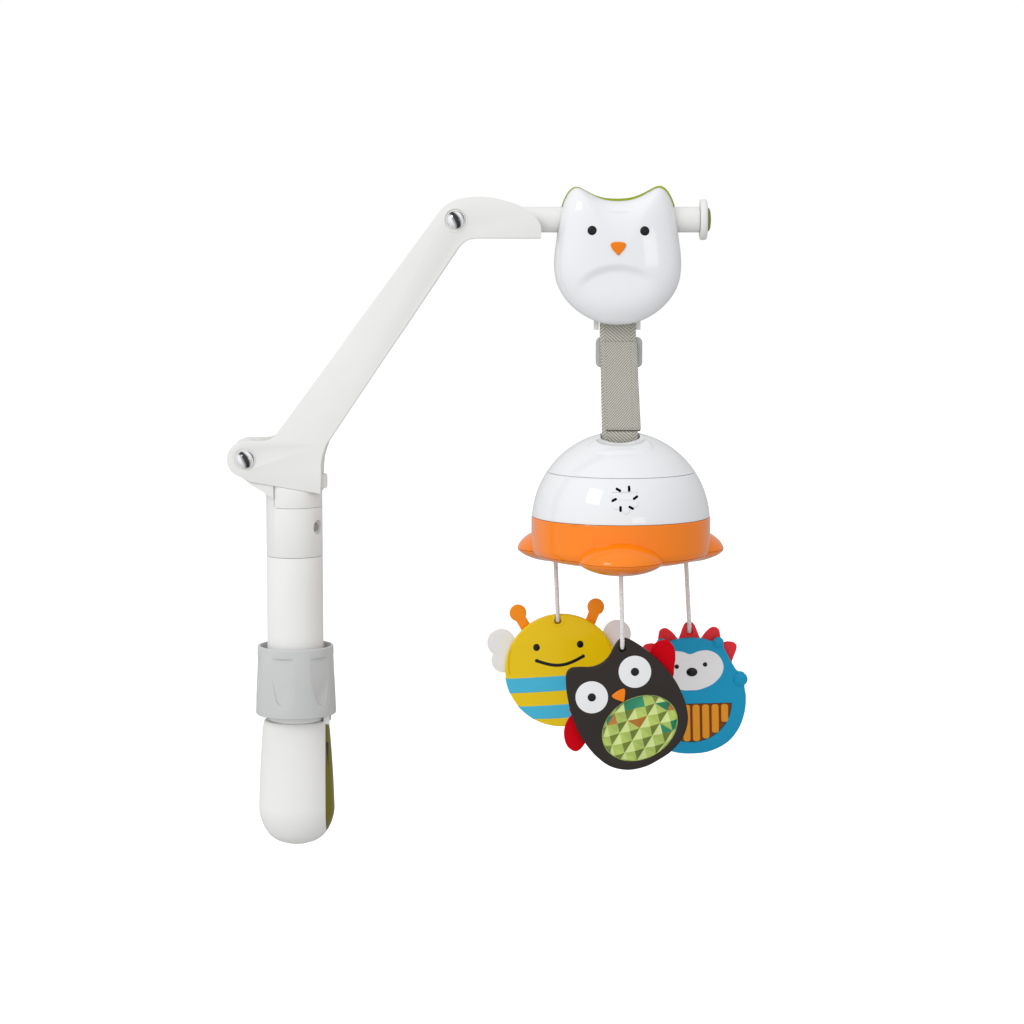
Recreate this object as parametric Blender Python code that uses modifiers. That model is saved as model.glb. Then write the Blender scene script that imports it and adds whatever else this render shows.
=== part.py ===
"""Crib mobile: a folding rail-clamp arm that carries an animal-head clip, a music dome and three toys.

Frame: +Z up, +X from the post towards the toys, -Y towards the viewer. The origin is the centre of
the clamp's grip, on the seam between its two jaws. Dimensions are written in millimetres and are
turned into metres by the helpers. Each object is one physical piece.
"""
import math

import bmesh
import bpy
from mathutils import Matrix, Vector
from mathutils.bvhtree import BVHTree

MM = 0.001
GAP = 0.3                     # clearance left between pieces that touch

# ---------------------------------------------------------------- driving dimensions
POST_X = -27.4                # axis of the post, its collar and the clamp
POST_R = 25.3
TUBE_BORE_R = 22.8
SPIGOT_R = 22.4
TUBE_LOW, TUBE_HIGH = 45.8, 195.5

JAW_TOP = 45.5
JAW_DEPTH = 0.86              # the clamp is a little flatter than it is wide
JAW_PIN = (1.5, 56.0)
JAW_PIN_R = 1.2
PAD_HEIGHT = 52.0
COLLAR_LOW, COLLAR_HIGH = 51.5, 114.0
COLLAR_R_LOW, COLLAR_R_HIGH = 36.3, 34.2
GRIPS = 6
GRIP_TURN = -106.0            # direction of the grip that faces the viewer, from +X

SEAM_AT = (-2.3, 253.4)       # arm base plane, where it meets the right side of the post
SEAM_SLOPE = 0.17             # the base plane climbs to the left by this much
CATCH_LOW = 240.1
CATCH_LEFT = -44.1

LOWER_PIVOT = (-69.1, 284.3)
UPPER_PIVOT = (118.7, 496.5)
ARM_HALF = 23.0               # half depth of the arm over its cheeks
CHEEK = 3.5
PIN_R = 4.0
PIN_HEAD_R = 7.8
KNUCKLE_HALF = ARM_HALF - CHEEK - GAP

ROD_Z = UPPER_PIVOT[1]
ROD_R, ROD_BORE_R = 11.4, 9.0
ROD_START, ROD_END = 131.5, 335.3
FLANGE_R, FLANGE_END = 18.1, 342.0
CAP_R, CAP_END = 10.5, 345.4

CLIP_X = 262.5                # middle of the animal head
CLIP_CENTRE_Z = 462.0
CLIP_PIVOT = (-1.0, 455.0)    # (y, z) of the clip's hinge
CLIP_DEPTH_FRONT, CLIP_DEPTH_BACK = 34.2, 26.0
SHELL = 2.2
BRACKET_HALF, BRACKET_CHEEK = 20.8, 4.2
BRACKET_LOW = 398.6

STRAP_Y = 0.0
STRAP_TOP, STRAP_LOW = 412.0, 297.0
STRAP_WIDTH, STRAP_THICK = 32.0, 1.6
STRAP_INNER_R = 2.6
STRAP_X_TOP, STRAP_X_LOW = 262.7, 265.4
BAR_R = 1.9

DOME_X = 266.7
DOME_Y = 7.0                  # the dome hangs from in front of its middle, over its heavy parts
DOME_R, DOME_Z, DOME_HEIGHT = 80.4, 225.0, 82.0
DOME_WALL = 2.4
CAP_SEAM, BAND_LOW = 270.8, 230.9
DISH_SIZE = (28.5, 22.5, 16.0)
DISH_TILT = 18.0
ROTOR_R, ROTOR_TOP, ROTOR_SPLIT = 80.7, 229.6, 197.2
ROTOR_TURN = -2.0             # the rotor rests two degrees off square
PETAL_RING, PETAL_R = 65.0, 38.0
PETAL_RISE, PETAL_DROP = 20.0, 12.2
STRING_RING, STRING_R = 69.0, 2.0
STRING_EXIT = 186.3           # middle of the rotor wall that a string comes through
BEAD_R, BEAD_LOW, BEAD_HIGH = 4.4, 190.0, 193.0

CELL_R = 13.1                 # C cell
MODULE = 1.875                 # gear tooth size
PINION_TEETH, RING_TEETH = 8, 32
GEAR_LOW, GEAR_HIGH = 216.0, 222.0

TOY_THICK = 7.0


# ---------------------------------------------------------------- scene and materials
def new_collection(name):
    group = bpy.data.collections.new(name)
    bpy.context.scene.collection.children.link(group)
    return group


for item in list(bpy.data.objects):
    bpy.data.objects.remove(item, do_unlink=True)
PARTS = new_collection("crib_mobile")
CUTTERS = new_collection("cutters")


def material(name, colour, roughness, metallic=0.0):
    made = bpy.data.materials.new(name)
    made.use_nodes = True
    shader = made.node_tree.nodes["Principled BSDF"]
    shader.inputs["Base Color"].default_value = (*colour, 1.0)
    shader.inputs["Roughness"].default_value = roughness
    shader.inputs["Metallic"].default_value = metallic
    made.diffuse_color = (*colour, 1.0)
    return made


WHITE = material("white_plastic", (0.80, 0.80, 0.79), 0.35)
GLOSS = material("gloss_white_plastic", (0.82, 0.83, 0.84), 0.12)
GREY = material("grey_collar_plastic", (0.54, 0.56, 0.56), 0.5)
SLIDER = material("slider_plastic", (0.44, 0.46, 0.45), 0.45)
LIME = material("lime_plastic", (0.40, 0.50, 0.04), 0.35)
ORANGE = material("orange_plastic", (0.92, 0.26, 0.02), 0.15)
RUBBER = material("rubber", (0.05, 0.05, 0.05), 0.8)
BLACK = material("black_plastic", (0.012, 0.012, 0.014), 0.25)
CHROME = material("chrome", (0.9, 0.9, 0.92), 0.06, 1.0)
STEEL = material("steel", (0.55, 0.56, 0.58), 0.3, 1.0)
NYLON = material("nylon", (0.85, 0.84, 0.78), 0.45)
WEBBING = material("grey_webbing", (0.36, 0.35, 0.30), 0.9)
CORD = material("white_cord", (0.80, 0.79, 0.75), 0.9)
BOARD = material("circuit_board", (0.02, 0.16, 0.05), 0.4)
CELL = material("battery_jacket", (0.30, 0.30, 0.32), 0.4, 0.6)
YELLOW = material("bee_yellow", (0.72, 0.50, 0.02), 0.35)
CLEAR = material("wing_plastic", (0.78, 0.78, 0.78), 0.4)
CHARCOAL = material("owl_charcoal", (0.042, 0.034, 0.030), 0.4)
RED_CLOTH = material("red_fabric", (0.58, 0.003, 0.01), 0.9)
GEM = material("owl_gem", (0.38, 0.50, 0.09), 0.1)
BLUE = material("hedgehog_blue", (0.0, 0.36, 0.60), 0.35)
SPIKE = material("hedgehog_red", (0.75, 0.04, 0.05), 0.4)
AMBER = material("hedgehog_amber", (0.60, 0.22, 0.01), 0.3)


# ---------------------------------------------------------------- modelling helpers
PLANES = {                    # where a flat outline's own x, y and thickness point
    "XZ": Matrix(((1, 0, 0, 0), (0, 0, -1, 0), (0, 1, 0, 0), (0, 0, 0, 1))),
    "YZ": Matrix(((0, 0, 1, 0), (1, 0, 0, 0), (0, 1, 0, 0), (0, 0, 0, 1))),
    "XY": Matrix.Identity(4),
}
TURNS = {"Z": (0, 0, 0), "Y": (-math.pi / 2, 0, 0), "X": (0, math.pi / 2, 0)}


def add_object(name, mesh, finish):
    made = bpy.data.objects.new(name, mesh)
    mesh.materials.clear()
    mesh.materials.append(finish)
    PARTS.objects.link(made)
    return made


def smooth(obj, degrees=35):
    obj.data.shade_smooth()
    obj.data.set_sharp_from_angle(angle=math.radians(degrees))
    return obj


def boolean(target, tool, operation="DIFFERENCE"):
    """Cut, join or intersect target with another object, which is then only a guide."""
    step = target.modifiers.new(operation.lower(), "BOOLEAN")
    step.operation = operation
    step.solver = "EXACT"
    step.object = tool
    tool.hide_render = True
    tool.display_type = "WIRE"
    if tool.name in PARTS.objects:
        PARTS.objects.unlink(tool)
        CUTTERS.objects.link(tool)
    return target


def turned(name, profile, centre, finish, axis="Z", steps=32, closed=False):
    """A solid of revolution. The profile is (radius, height) down its outer side, in mm."""
    mesh = bpy.data.meshes.new(name)
    edges = [(i, i + 1) for i in range(len(profile) - 1)]
    if closed:
        edges.append((len(profile) - 1, 0))
    mesh.from_pydata([(r * MM, 0, h * MM) for r, h in profile], edges, [])
    made = add_object(name, mesh, finish)
    screw = made.modifiers.new("turn", "SCREW")
    screw.steps = screw.render_steps = steps
    screw.use_merge_vertices = True
    screw.merge_threshold = 0.00001
    screw.use_smooth_shade = False
    made.location = Vector(centre) * MM
    made.rotation_euler = TURNS[axis]
    return made


def cylinder(name, radius, low, high, centre, finish, axis="Z", steps=24):
    """A round bar along an axis, from low to high of that axis; centre gives its other two places."""
    x, y, z = centre
    start = {"X": (0, y, z), "Y": (x, 0, z), "Z": (x, y, 0)}[axis]
    return turned(name, [(0, high), (radius, high), (radius, low), (0, low)], start, finish, axis, steps)


def ring(name, outer, inner, low, high, centre, finish, axis="Z", steps=32):
    x, y, z = centre
    start = {"X": (0, y, z), "Y": (x, 0, z), "Z": (x, y, 0)}[axis]
    profile = [(outer, high), (outer, low), (inner, low), (inner, high)]
    return turned(name, profile, start, finish, axis, steps, closed=True)


def box(name, x, y, z, finish):
    """A block from three (low, high) pairs in mm."""
    shape = bmesh.new()
    bmesh.ops.create_cube(shape, size=1.0)
    size = Vector([b - a for a, b in (x, y, z)]) * MM
    middle = Vector([(a + b) / 2 for a, b in (x, y, z)]) * MM
    bmesh.ops.scale(shape, vec=size, verts=shape.verts)
    bmesh.ops.translate(shape, vec=middle, verts=shape.verts)
    mesh = bpy.data.meshes.new(name)
    shape.to_mesh(mesh)
    shape.free()
    return add_object(name, mesh, finish)


def plate(name, loops, low, high, finish, plane="XZ"):
    """Flat outlines in mm, thickened from low to high along the plane's normal. Inner loops are holes."""
    curve = bpy.data.curves.new(name, "CURVE")
    curve.dimensions = "2D"
    curve.fill_mode = "BOTH"
    curve.extrude = (high - low) / 2 * MM
    for loop in loops:
        spline = curve.splines.new("POLY")
        spline.points.add(len(loop) - 1)
        for point, (x, y) in zip(spline.points, loop):
            point.co = (x * MM, y * MM, 0, 1)
        spline.use_cyclic_u = True
    guide = bpy.data.objects.new(name + "_outline", curve)
    PARTS.objects.link(guide)
    ready = guide.evaluated_get(bpy.context.evaluated_depsgraph_get())
    mesh = bpy.data.meshes.new_from_object(ready)
    bpy.data.objects.remove(guide, do_unlink=True)
    flip = -1 if plane == "XZ" else 1
    mesh.transform(Matrix.Translation((0, 0, flip * (low + high) / 2 * MM)))
    mesh.transform(PLANES[plane])
    mesh.name = name
    shape = bmesh.new()
    shape.from_mesh(mesh)
    bmesh.ops.remove_doubles(shape, verts=shape.verts, dist=1e-6)
    bmesh.ops.recalc_face_normals(shape, faces=shape.faces)
    shape.to_mesh(mesh)
    shape.free()
    return add_object(name, mesh, finish)


def arc(centre, radius, start, end, count):
    """Points on a circle, angles in degrees from the outline's own x."""
    steps = [math.radians(start + (end - start) * i / (count - 1)) for i in range(count)]
    return [(centre[0] + radius * math.cos(a), centre[1] + radius * math.sin(a)) for a in steps]


def circle(centre, radius, count, squash=1.0):
    angles = [2 * math.pi * i / count for i in range(count)]
    return [(centre[0] + radius * math.cos(a), centre[1] + squash * radius * math.sin(a)) for a in angles]


def rectangle(low_x, high_x, low_y, high_y, radius=0.0):
    if not radius:
        return [(low_x, low_y), (high_x, low_y), (high_x, high_y), (low_x, high_y)]
    corners = [(high_x - radius, high_y - radius, 0), (low_x + radius, high_y - radius, 90),
               (low_x + radius, low_y + radius, 180), (high_x - radius, low_y + radius, 270)]
    loop = []
    for x, y, turn in corners:
        loop += arc((x, y), radius, turn, turn + 90, 4)
    return loop


def flowing(points, steps=3):
    """A closed smooth curve through the points."""
    loop = []
    count = len(points)
    for i in range(count):
        a, b, c, d = (Vector(points[(i + k - 1) % count]) for k in range(4))
        for step in range(steps):
            t = step / steps
            loop.append(tuple(0.5 * ((2 * b) + (c - a) * t + (2 * a - 5 * b + 4 * c - d) * t * t
                                     + (3 * b - a - 3 * c + d) * t ** 3)))
    return loop


def mirrored(half):
    """A closed outline from its right half, listed top to bottom from the centre line."""
    return half + [(-x, y) for x, y in reversed(half[1:-1])]


def loft(name, sections, finish):
    """A surface through closed sections of equal length, its last one closed to a point."""
    shape = bmesh.new()
    rows = [[shape.verts.new(Vector(p) * MM) for p in row] for row in sections]
    count = len(rows[0])
    for near, far in zip(rows, rows[1:]):
        for i in range(count):
            j = (i + 1) % count
            shape.faces.new((near[i], near[j], far[j], far[i]))
    middle = sum((v.co for v in rows[-1]), Vector()) / count
    tip = shape.verts.new(middle)
    for i in range(count):
        shape.faces.new((rows[-1][i], rows[-1][(i + 1) % count], tip))
    bmesh.ops.recalc_face_normals(shape, faces=shape.faces)
    mesh = bpy.data.meshes.new(name)
    shape.to_mesh(mesh)
    shape.free()
    return add_object(name, mesh, finish)


def coil(name, radius, wire, low, high, turns, centre, finish, axis="X"):
    """A helical wire spring along an axis."""
    curve = bpy.data.curves.new(name, "CURVE")
    curve.dimensions = "3D"
    curve.bevel_depth = wire * MM
    curve.bevel_resolution = 0
    curve.use_fill_caps = True
    spline = curve.splines.new("POLY")
    per_turn = 8
    count = turns * per_turn + 1
    spline.points.add(count - 1)
    for i, point in enumerate(spline.points):
        angle = 2 * math.pi * i / per_turn
        along = low + (high - low) * i / (count - 1)
        across = (radius * math.cos(angle), radius * math.sin(angle))
        x, y, z = centre
        place = {"X": (along, y + across[0], z + across[1]), "Z": (x + across[0], y + across[1], along)}[axis]
        point.co = (*(Vector(place) * MM), 1)
    curve.materials.append(finish)
    made = bpy.data.objects.new(name, curve)
    PARTS.objects.link(made)
    return made


def dome_radius(z):
    """Radius of the dome's outer surface at a height."""
    return DOME_R * math.sqrt(max(0.0, 1 - ((z - DOME_Z) / DOME_HEIGHT) ** 2))


def seam_z(x):
    """Height of the arm's base plane."""
    return SEAM_AT[1] + SEAM_SLOPE * (SEAM_AT[0] - x)


# ---------------------------------------------------------------- clamp
def jaw_form(name, finish):
    """The rounded form that the two jaws share."""
    profile = [(0, JAW_TOP), (28.0, JAW_TOP), (30.5, 39), (31.6, 24), (33.2, -3), (34.2, -30),
               (33.4, -42), (30.4, -52), (24.2, -61), (13.0, -67.3), (0, -69)]
    form = turned(name, profile, (POST_X, 0, 0), finish, steps=24)
    form.scale = (1, JAW_DEPTH, 1)
    return form


def build_clamp():
    body = jaw_form("clamp_body", WHITE)
    boolean(body, box("seam_side", (-GAP / 2, 60), (-60, 60), (-90, 90), WHITE))
    boolean(body, cylinder("body_spigot", SPIGOT_R, 40, 100, (POST_X, 0, 0), WHITE), "UNION")
    for side in (-1, 1):
        span = sorted((side * 8.6, side * 11.6))
        boolean(body, box(f"pin_ear_{side}", (-1.8, 3.6), span, (43, 60.3), WHITE), "UNION")
    pin_hole = cylinder("pin_hole", JAW_PIN_R + GAP, -20, 20, (JAW_PIN[0], 0, JAW_PIN[1]), WHITE, "Y", 12)
    boolean(body, pin_hole)
    boolean(body, cylinder("spring_pocket", 3.8, -9.3, 5, (0, 0, 33.5), WHITE, "X", 16))

    jaw = jaw_form("clamp_jaw", LIME)
    boolean(jaw, box("jaw_half", (-80, GAP / 2), (-60, 60), (-90, 90), WHITE))
    tail = [(0.2, 36), (0.2, 46.2), (-0.9, 48.5)]
    tail += arc(JAW_PIN, 2.4, 180, 130, 3) + [(1.9, 60), (1.9, 65), (3.4, 65), (3.4, 46), (1.0, 43)]
    boolean(jaw, plate("jaw_tail", [tail], -5.6, 5.6, LIME), "UNION")
    boolean(jaw, pin_hole)
    boolean(jaw, box("jaw_pad_pocket", (-1, 2.2), (-12.3, 12.3), (-26.3, 26.3), LIME))
    boolean(jaw, cylinder("jaw_spring_pocket", 3.8, -1, 2.2, (0, 0, 33.5), LIME, "X", 16))

    cylinder("jaw_pin", JAW_PIN_R, -11.3, 11.3, (JAW_PIN[0], 0, JAW_PIN[1]), STEEL, "Y", 12)
    coil("jaw_spring", 3.0, 0.35, -8.6, 1.5, 4, (0, 0, 33.5), STEEL)
    half = PAD_HEIGHT / 2
    box("jaw_pad", (0.4, 1.9), (-12, 12), (-half, half), RUBBER)


def build_collar():
    profile = [(COLLAR_R_HIGH - 0.6, COLLAR_HIGH), (COLLAR_R_HIGH, COLLAR_HIGH - 0.8),
               (COLLAR_R_LOW, COLLAR_LOW + 1.2), (COLLAR_R_LOW - 1.2, COLLAR_LOW),
               (33.4, COLLAR_LOW), (33.4, 64.5), (31.8, 66), (31.8, COLLAR_HIGH - 0.8),
               (32.2, COLLAR_HIGH)]
    collar = turned("collar", profile, (POST_X, 0, 0), GREY, steps=30, closed=True)
    grip = [(-13, 104.6), (-11, 90), (-6.5, 68)]
    grip += arc((0, 67.5), 5.8, 190, 350, 4) + [(6.5, 68), (11, 90), (13, 104.6)]
    for k in range(GRIPS):
        cutter = plate(f"grip_{k}", [grip], -60, -(COLLAR_R_LOW + 0.2), GREY)
        turn = math.radians(GRIP_TURN + 90 + 360 / GRIPS * k)
        cutter.data.transform(Matrix.Rotation(math.radians(-2.0), 4, "X"))
        cutter.data.transform(Matrix.Rotation(turn, 4, "Z"))
        cutter.location.x = POST_X * MM
        boolean(collar, cutter)
    wedge = [(31.4, 88), (31.4, 68), (29.6, 67), (29.0, 65.5), (27.2, 61), (POST_R + GAP, 61), (POST_R + GAP, 88)]
    turned("thrust_ring", wedge, (POST_X, 0, 0), NYLON, steps=28, closed=True)


# ---------------------------------------------------------------- post
def seam_block(name, below, offset):
    """A block that fills one side of the arm's base plane."""
    far = 200.0
    ends = [(x, seam_z(x) + offset) for x in (-120.0, 40.0)]
    outline = ends + [(40.0, ends[1][1] + (-far if below else far)), (-120.0, ends[0][1] + (-far if below else far))]
    return plate(name, [outline], -60, 60, WHITE)


def build_post():
    ring("lower_tube", POST_R, TUBE_BORE_R, TUBE_LOW, TUBE_HIGH, (POST_X, 0, 0), WHITE, steps=32)

    profile = [(19, 266), (POST_R, 266), (POST_R, TUBE_HIGH + GAP), (SPIGOT_R, TUBE_HIGH + GAP), (SPIGOT_R, 172), (19, 172)]
    head = turned("post_head", profile, (POST_X, 0, 0), WHITE, steps=28, closed=True)
    gusset = [(-66.5, 262.5), (-52.4, 254.2), (-44.4, 248.5), (-44.4, 268), (-66.5, 268)]
    boolean(head, plate("gusset", [gusset], -21.5, 21.5, WHITE), "UNION")
    boolean(head, seam_block("above_seam", False, -GAP / 2))
    boolean(head, box("catch_notch", (CATCH_LEFT, 10), (-40, 40), (CATCH_LOW, 290), WHITE))
    eye = arc(LOWER_PIVOT, 15.5, -20, 235, 18)
    tongue = eye + [(-66, 262.8), (-55.5, 257), (-48.5, 250), (CATCH_LEFT, 246), (CATCH_LEFT, 262)]
    boolean(head, plate("tongue", [tongue], -KNUCKLE_HALF, KNUCKLE_HALF, WHITE), "UNION")
    boolean(head, cylinder("tongue_bore", PIN_R + GAP, -30, 30, (LOWER_PIVOT[0], 0, LOWER_PIVOT[1]), WHITE, "Y", 20))
    screw_axis = Matrix.Rotation(math.radians(-28), 4, "Z")
    well = cylinder("screw_well", 5.6, 21.6, 40, (0, 0, 222.3), WHITE, "X", 20)
    well.matrix_world = (Matrix.Translation((POST_X * MM, 0, 0)) @ screw_axis @ Matrix.Translation((0, 0, 222.3 * MM))
                         @ Matrix.Rotation(math.pi / 2, 4, "Y"))
    boolean(head, well)
    shank = cylinder("screw_shank", 2.0, 0, 40, (0, 0, 222.3), WHITE, "X", 12)
    shank.matrix_world = well.matrix_world
    boolean(head, shank)
    shape = [(0, 23.6), (3.4, 23.4), (4.2, 22.0), (1.6, 22.0), (1.6, 12), (0, 12)]
    screw = turned("post_screw", shape, (0, 0, 0), STEEL, steps=16)
    screw.matrix_world = well.matrix_world

    shape = [(11, 275), (POST_R, 275), (POST_R, CATCH_LOW + GAP), (11, CATCH_LOW + GAP)]
    catch = turned("latch_catch", shape, (POST_X, 0, 0), WHITE, steps=28, closed=True)
    boolean(catch, seam_block("above_catch", False, -GAP / 2))
    boolean(catch, box("catch_left", (-90, CATCH_LEFT + GAP), (-40, 40), (200, 290), WHITE))
    boolean(catch, box("catch_tooth", (-16, -13), (-4, 4), (246, 262), WHITE), "UNION")
    boolean(catch, box("catch_nib", (-19, -15.5), (-4, 4), (259, 262), WHITE), "UNION")


def pivot_pin(name, place, finish):
    """A pin with a domed head outside each cheek."""
    face = ARM_HALF + GAP
    head = [(0, face + 4.6), (4.4, face + 3.8), (7.0, face + 1.9), (PIN_HEAD_R, face)]
    profile = head + [(PIN_R, face), (PIN_R, -face)] + [(r, -h) for r, h in reversed(head)]
    return smooth(turned(name, profile, (place[0], 0, place[1]), finish, "Y", 16))


# ---------------------------------------------------------------- arm
def arm_outline():
    """Side view of the arm, anticlockwise from the right end of its base."""
    base = [(SEAM_AT[0], SEAM_AT[1] + GAP / 2), (-1.6, 276), (-0.2, 286), (3.7, 297.5)]
    elbow = [(119.0, 468.2), (121.6, 471.8), (125.6, 475.9), (130.6, 478.9), (137.0, 480.1)]
    nose = [(193.2, 479.8), (194.3, 481.0), (194.2, 489.1), (191.9, 495.2), (186.4, 501.8), (178.8, 507.1)]
    crown = [(169.3, 511.2), (154.5, 515.2), (144.0, 516.6), (134.5, 516.7), (121.4, 514.7), (112.5, 510.8), (105.8, 505.6)]
    lug = [(-41.0, 307.4), (-44.5, 303.6), (-49.0, 301.4), (-55.0, 300.8)]
    eye = arc(LOWER_PIVOT, 16.5, 90, 236, 10)
    heel_x = -64.8
    return base + elbow + nose + crown + lug + eye + [(heel_x, seam_z(heel_x) + GAP / 2)]


def build_arm():
    outline = arm_outline()
    arm = plate("arm", [outline], -ARM_HALF, ARM_HALF, WHITE)
    floor_side = {(round(x, 1), round(z, 1)) for x, z in outline[:10]}
    shape = bmesh.new()
    shape.from_mesh(arm.data)
    bmesh.ops.dissolve_limit(shape, angle_limit=0.01, verts=shape.verts, edges=shape.edges)

    def on_floor(vert):
        return (round(vert.co.x / MM, 1), round(vert.co.z / MM, 1)) in floor_side

    rims = [e for e in shape.edges if all(on_floor(v) for v in e.verts) and abs(e.verts[0].co.y - e.verts[1].co.y) < 1e-6]
    bmesh.ops.bevel(shape, geom=rims, offset=12 * MM, segments=3, profile=0.5, affect="EDGES")
    shape.to_mesh(arm.data)
    shape.free()
    inside = [(-6.2, 240), (-5.3, 276), (-3.9, 287), (0.2, 299), (115.6, 470.3), (118.6, 474.6), (122.8, 479.4), (128.5, 483.3),
              (135.5, 484.9), (210, 484.9), (210, 540), (60, 540), (-70, 330), (-120, 320), (-120, 240)]
    boolean(arm, plate("channel", [inside], -ARM_HALF + CHEEK, ARM_HALF - CHEEK, WHITE))
    half = ARM_HALF - 1.0
    boolean(arm, box("spring_wall", (-36, -34), (-half, half), (262, 290), WHITE), "UNION")
    for name, place in (("lower_eye", LOWER_PIVOT), ("upper_eye", UPPER_PIVOT)):
        boolean(arm, cylinder(name, PIN_R + GAP, -30, 30, (place[0], 0, place[1]), WHITE, "Y", 20))
    boolean(arm, box("button_window", (-8, 8), (-7, 7), (256.4, 269.6), WHITE))
    pivot_pin("lower_pivot_pin", LOWER_PIVOT, CHROME)
    pivot_pin("upper_pivot_pin", UPPER_PIVOT, CHROME)

    button = box("latch_button", (-7.5, 2.3), (-6.6, 6.6), (256.7, 269.3), WHITE)
    boolean(button, box("button_flange", (-9.2, -6.6), (-8.6, 8.6), (256.7, 271.0), WHITE), "UNION")
    boolean(button, box("button_bar", (-24.5, -8), (-4, 4), (263.5, 268), WHITE), "UNION")
    boolean(button, box("button_leg", (-24.5, -22), (-4, 4), (255.8, 265), WHITE), "UNION")
    boolean(button, box("button_lip", (-23, -17.4), (-4, 4), (255.8, 258.6), WHITE), "UNION")
    coil("latch_spring", 1.8, 0.3, -33.5, -27.5, 4, (0, 0, 265.8), STEEL)


# ---------------------------------------------------------------- rod
def build_rod():
    ring("rod", ROD_R, ROD_BORE_R, ROD_START, ROD_END, (0, 0, ROD_Z), WHITE, "X", 24)
    knuckle = cylinder("rod_knuckle", 12.4, -KNUCKLE_HALF, KNUCKLE_HALF, (UPPER_PIVOT[0], 0, ROD_Z), WHITE, "Y", 24)
    neck = turned("knuckle_neck", [(0, 160), (ROD_BORE_R - GAP, 160), (ROD_BORE_R - GAP, ROD_START - GAP), (ROD_R, ROD_START - GAP),
                                   (ROD_R, UPPER_PIVOT[0]), (0, UPPER_PIVOT[0])], (0, 0, ROD_Z), WHITE, "X", 24)
    boolean(knuckle, neck, "UNION")
    boolean(knuckle, cylinder("knuckle_bore", PIN_R + GAP, -30, 30, (UPPER_PIVOT[0], 0, ROD_Z), WHITE, "Y", 20))
    spigot = ROD_BORE_R - GAP
    flange = [(3.4, FLANGE_END), (FLANGE_R - 1.6, FLANGE_END), (FLANGE_R, FLANGE_END - 1.6), (FLANGE_R, ROD_END + GAP),
              (spigot, ROD_END + GAP), (spigot, 320), (3.4, 320)]
    turned("rod_flange", flange, (0, 0, ROD_Z), WHITE, "X", 24, closed=True)
    cap = [(0, CAP_END), (5, CAP_END - 0.3), (CAP_R - 0.8, CAP_END - 1.2), (CAP_R, CAP_END - 2.2), (CAP_R, FLANGE_END + GAP),
           (3.1, FLANGE_END + GAP), (3.1, 326), (0, 326)]
    smooth(turned("rod_end_cap", cap, (0, 0, ROD_Z), LIME, "X", 20))


# ---------------------------------------------------------------- clip
def head_outline(grow=0.0):
    """Front view of the animal head about its centre: two ears, a dip, and a round body."""
    half = [(0, 51.4), (13, 53.0), (24, 57.6), (32, 61.8), (37.2, 62.9), (43.4, 59.4), (48.6, 49.0), (52.3, 34), (55.4, 12),
            (56.6, -5), (54.9, -20), (48.4, -33.2), (36.5, -46), (20.7, -55.6), (0, -58.7)]
    return [(x + grow * (1 if x > 0 else -1 if x < 0 else 0), z + (grow if z > 0 else 0)) for x, z in mirrored(half)]


def head_section(depth, scale, grow, lean):
    """The head's outline at a depth. Below the hinge the rim leans away by the slope `lean`."""
    row = []
    for x, z in head_outline(grow):
        height = CLIP_CENTRE_Z + z * scale
        back = lean * max(0.0, CLIP_PIVOT[1] - height)
        row.append((CLIP_X + x * scale, depth - back, height))
    return row


FRONT_LEVELS = [(-1.5, 1.0, 0.2), (-14, 0.985, 0.08), (-23, 0.91, 0), (-29.5, 0.76, 0), (-33.2, 0.48, 0)]
BACK_LEVELS = [(0.8, 1.0, 0), (13, 0.97, 0), (21, 0.85, 0), (25.2, 0.58, 0)]


def half_ring(name, finish, facing):
    """A rubber saddle on one side of the rod, three quarters of a half turn long."""
    middle = 180 if facing < 0 else 0
    outer = arc((0, ROD_Z), 14.4, middle - 72, middle + 72, 10)
    inner = arc((0, ROD_Z), ROD_R + 0.35, middle + 72, middle - 72, 10)
    return plate(name, [outer + inner], CLIP_X - 12, CLIP_X + 12, finish, "YZ")


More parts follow.
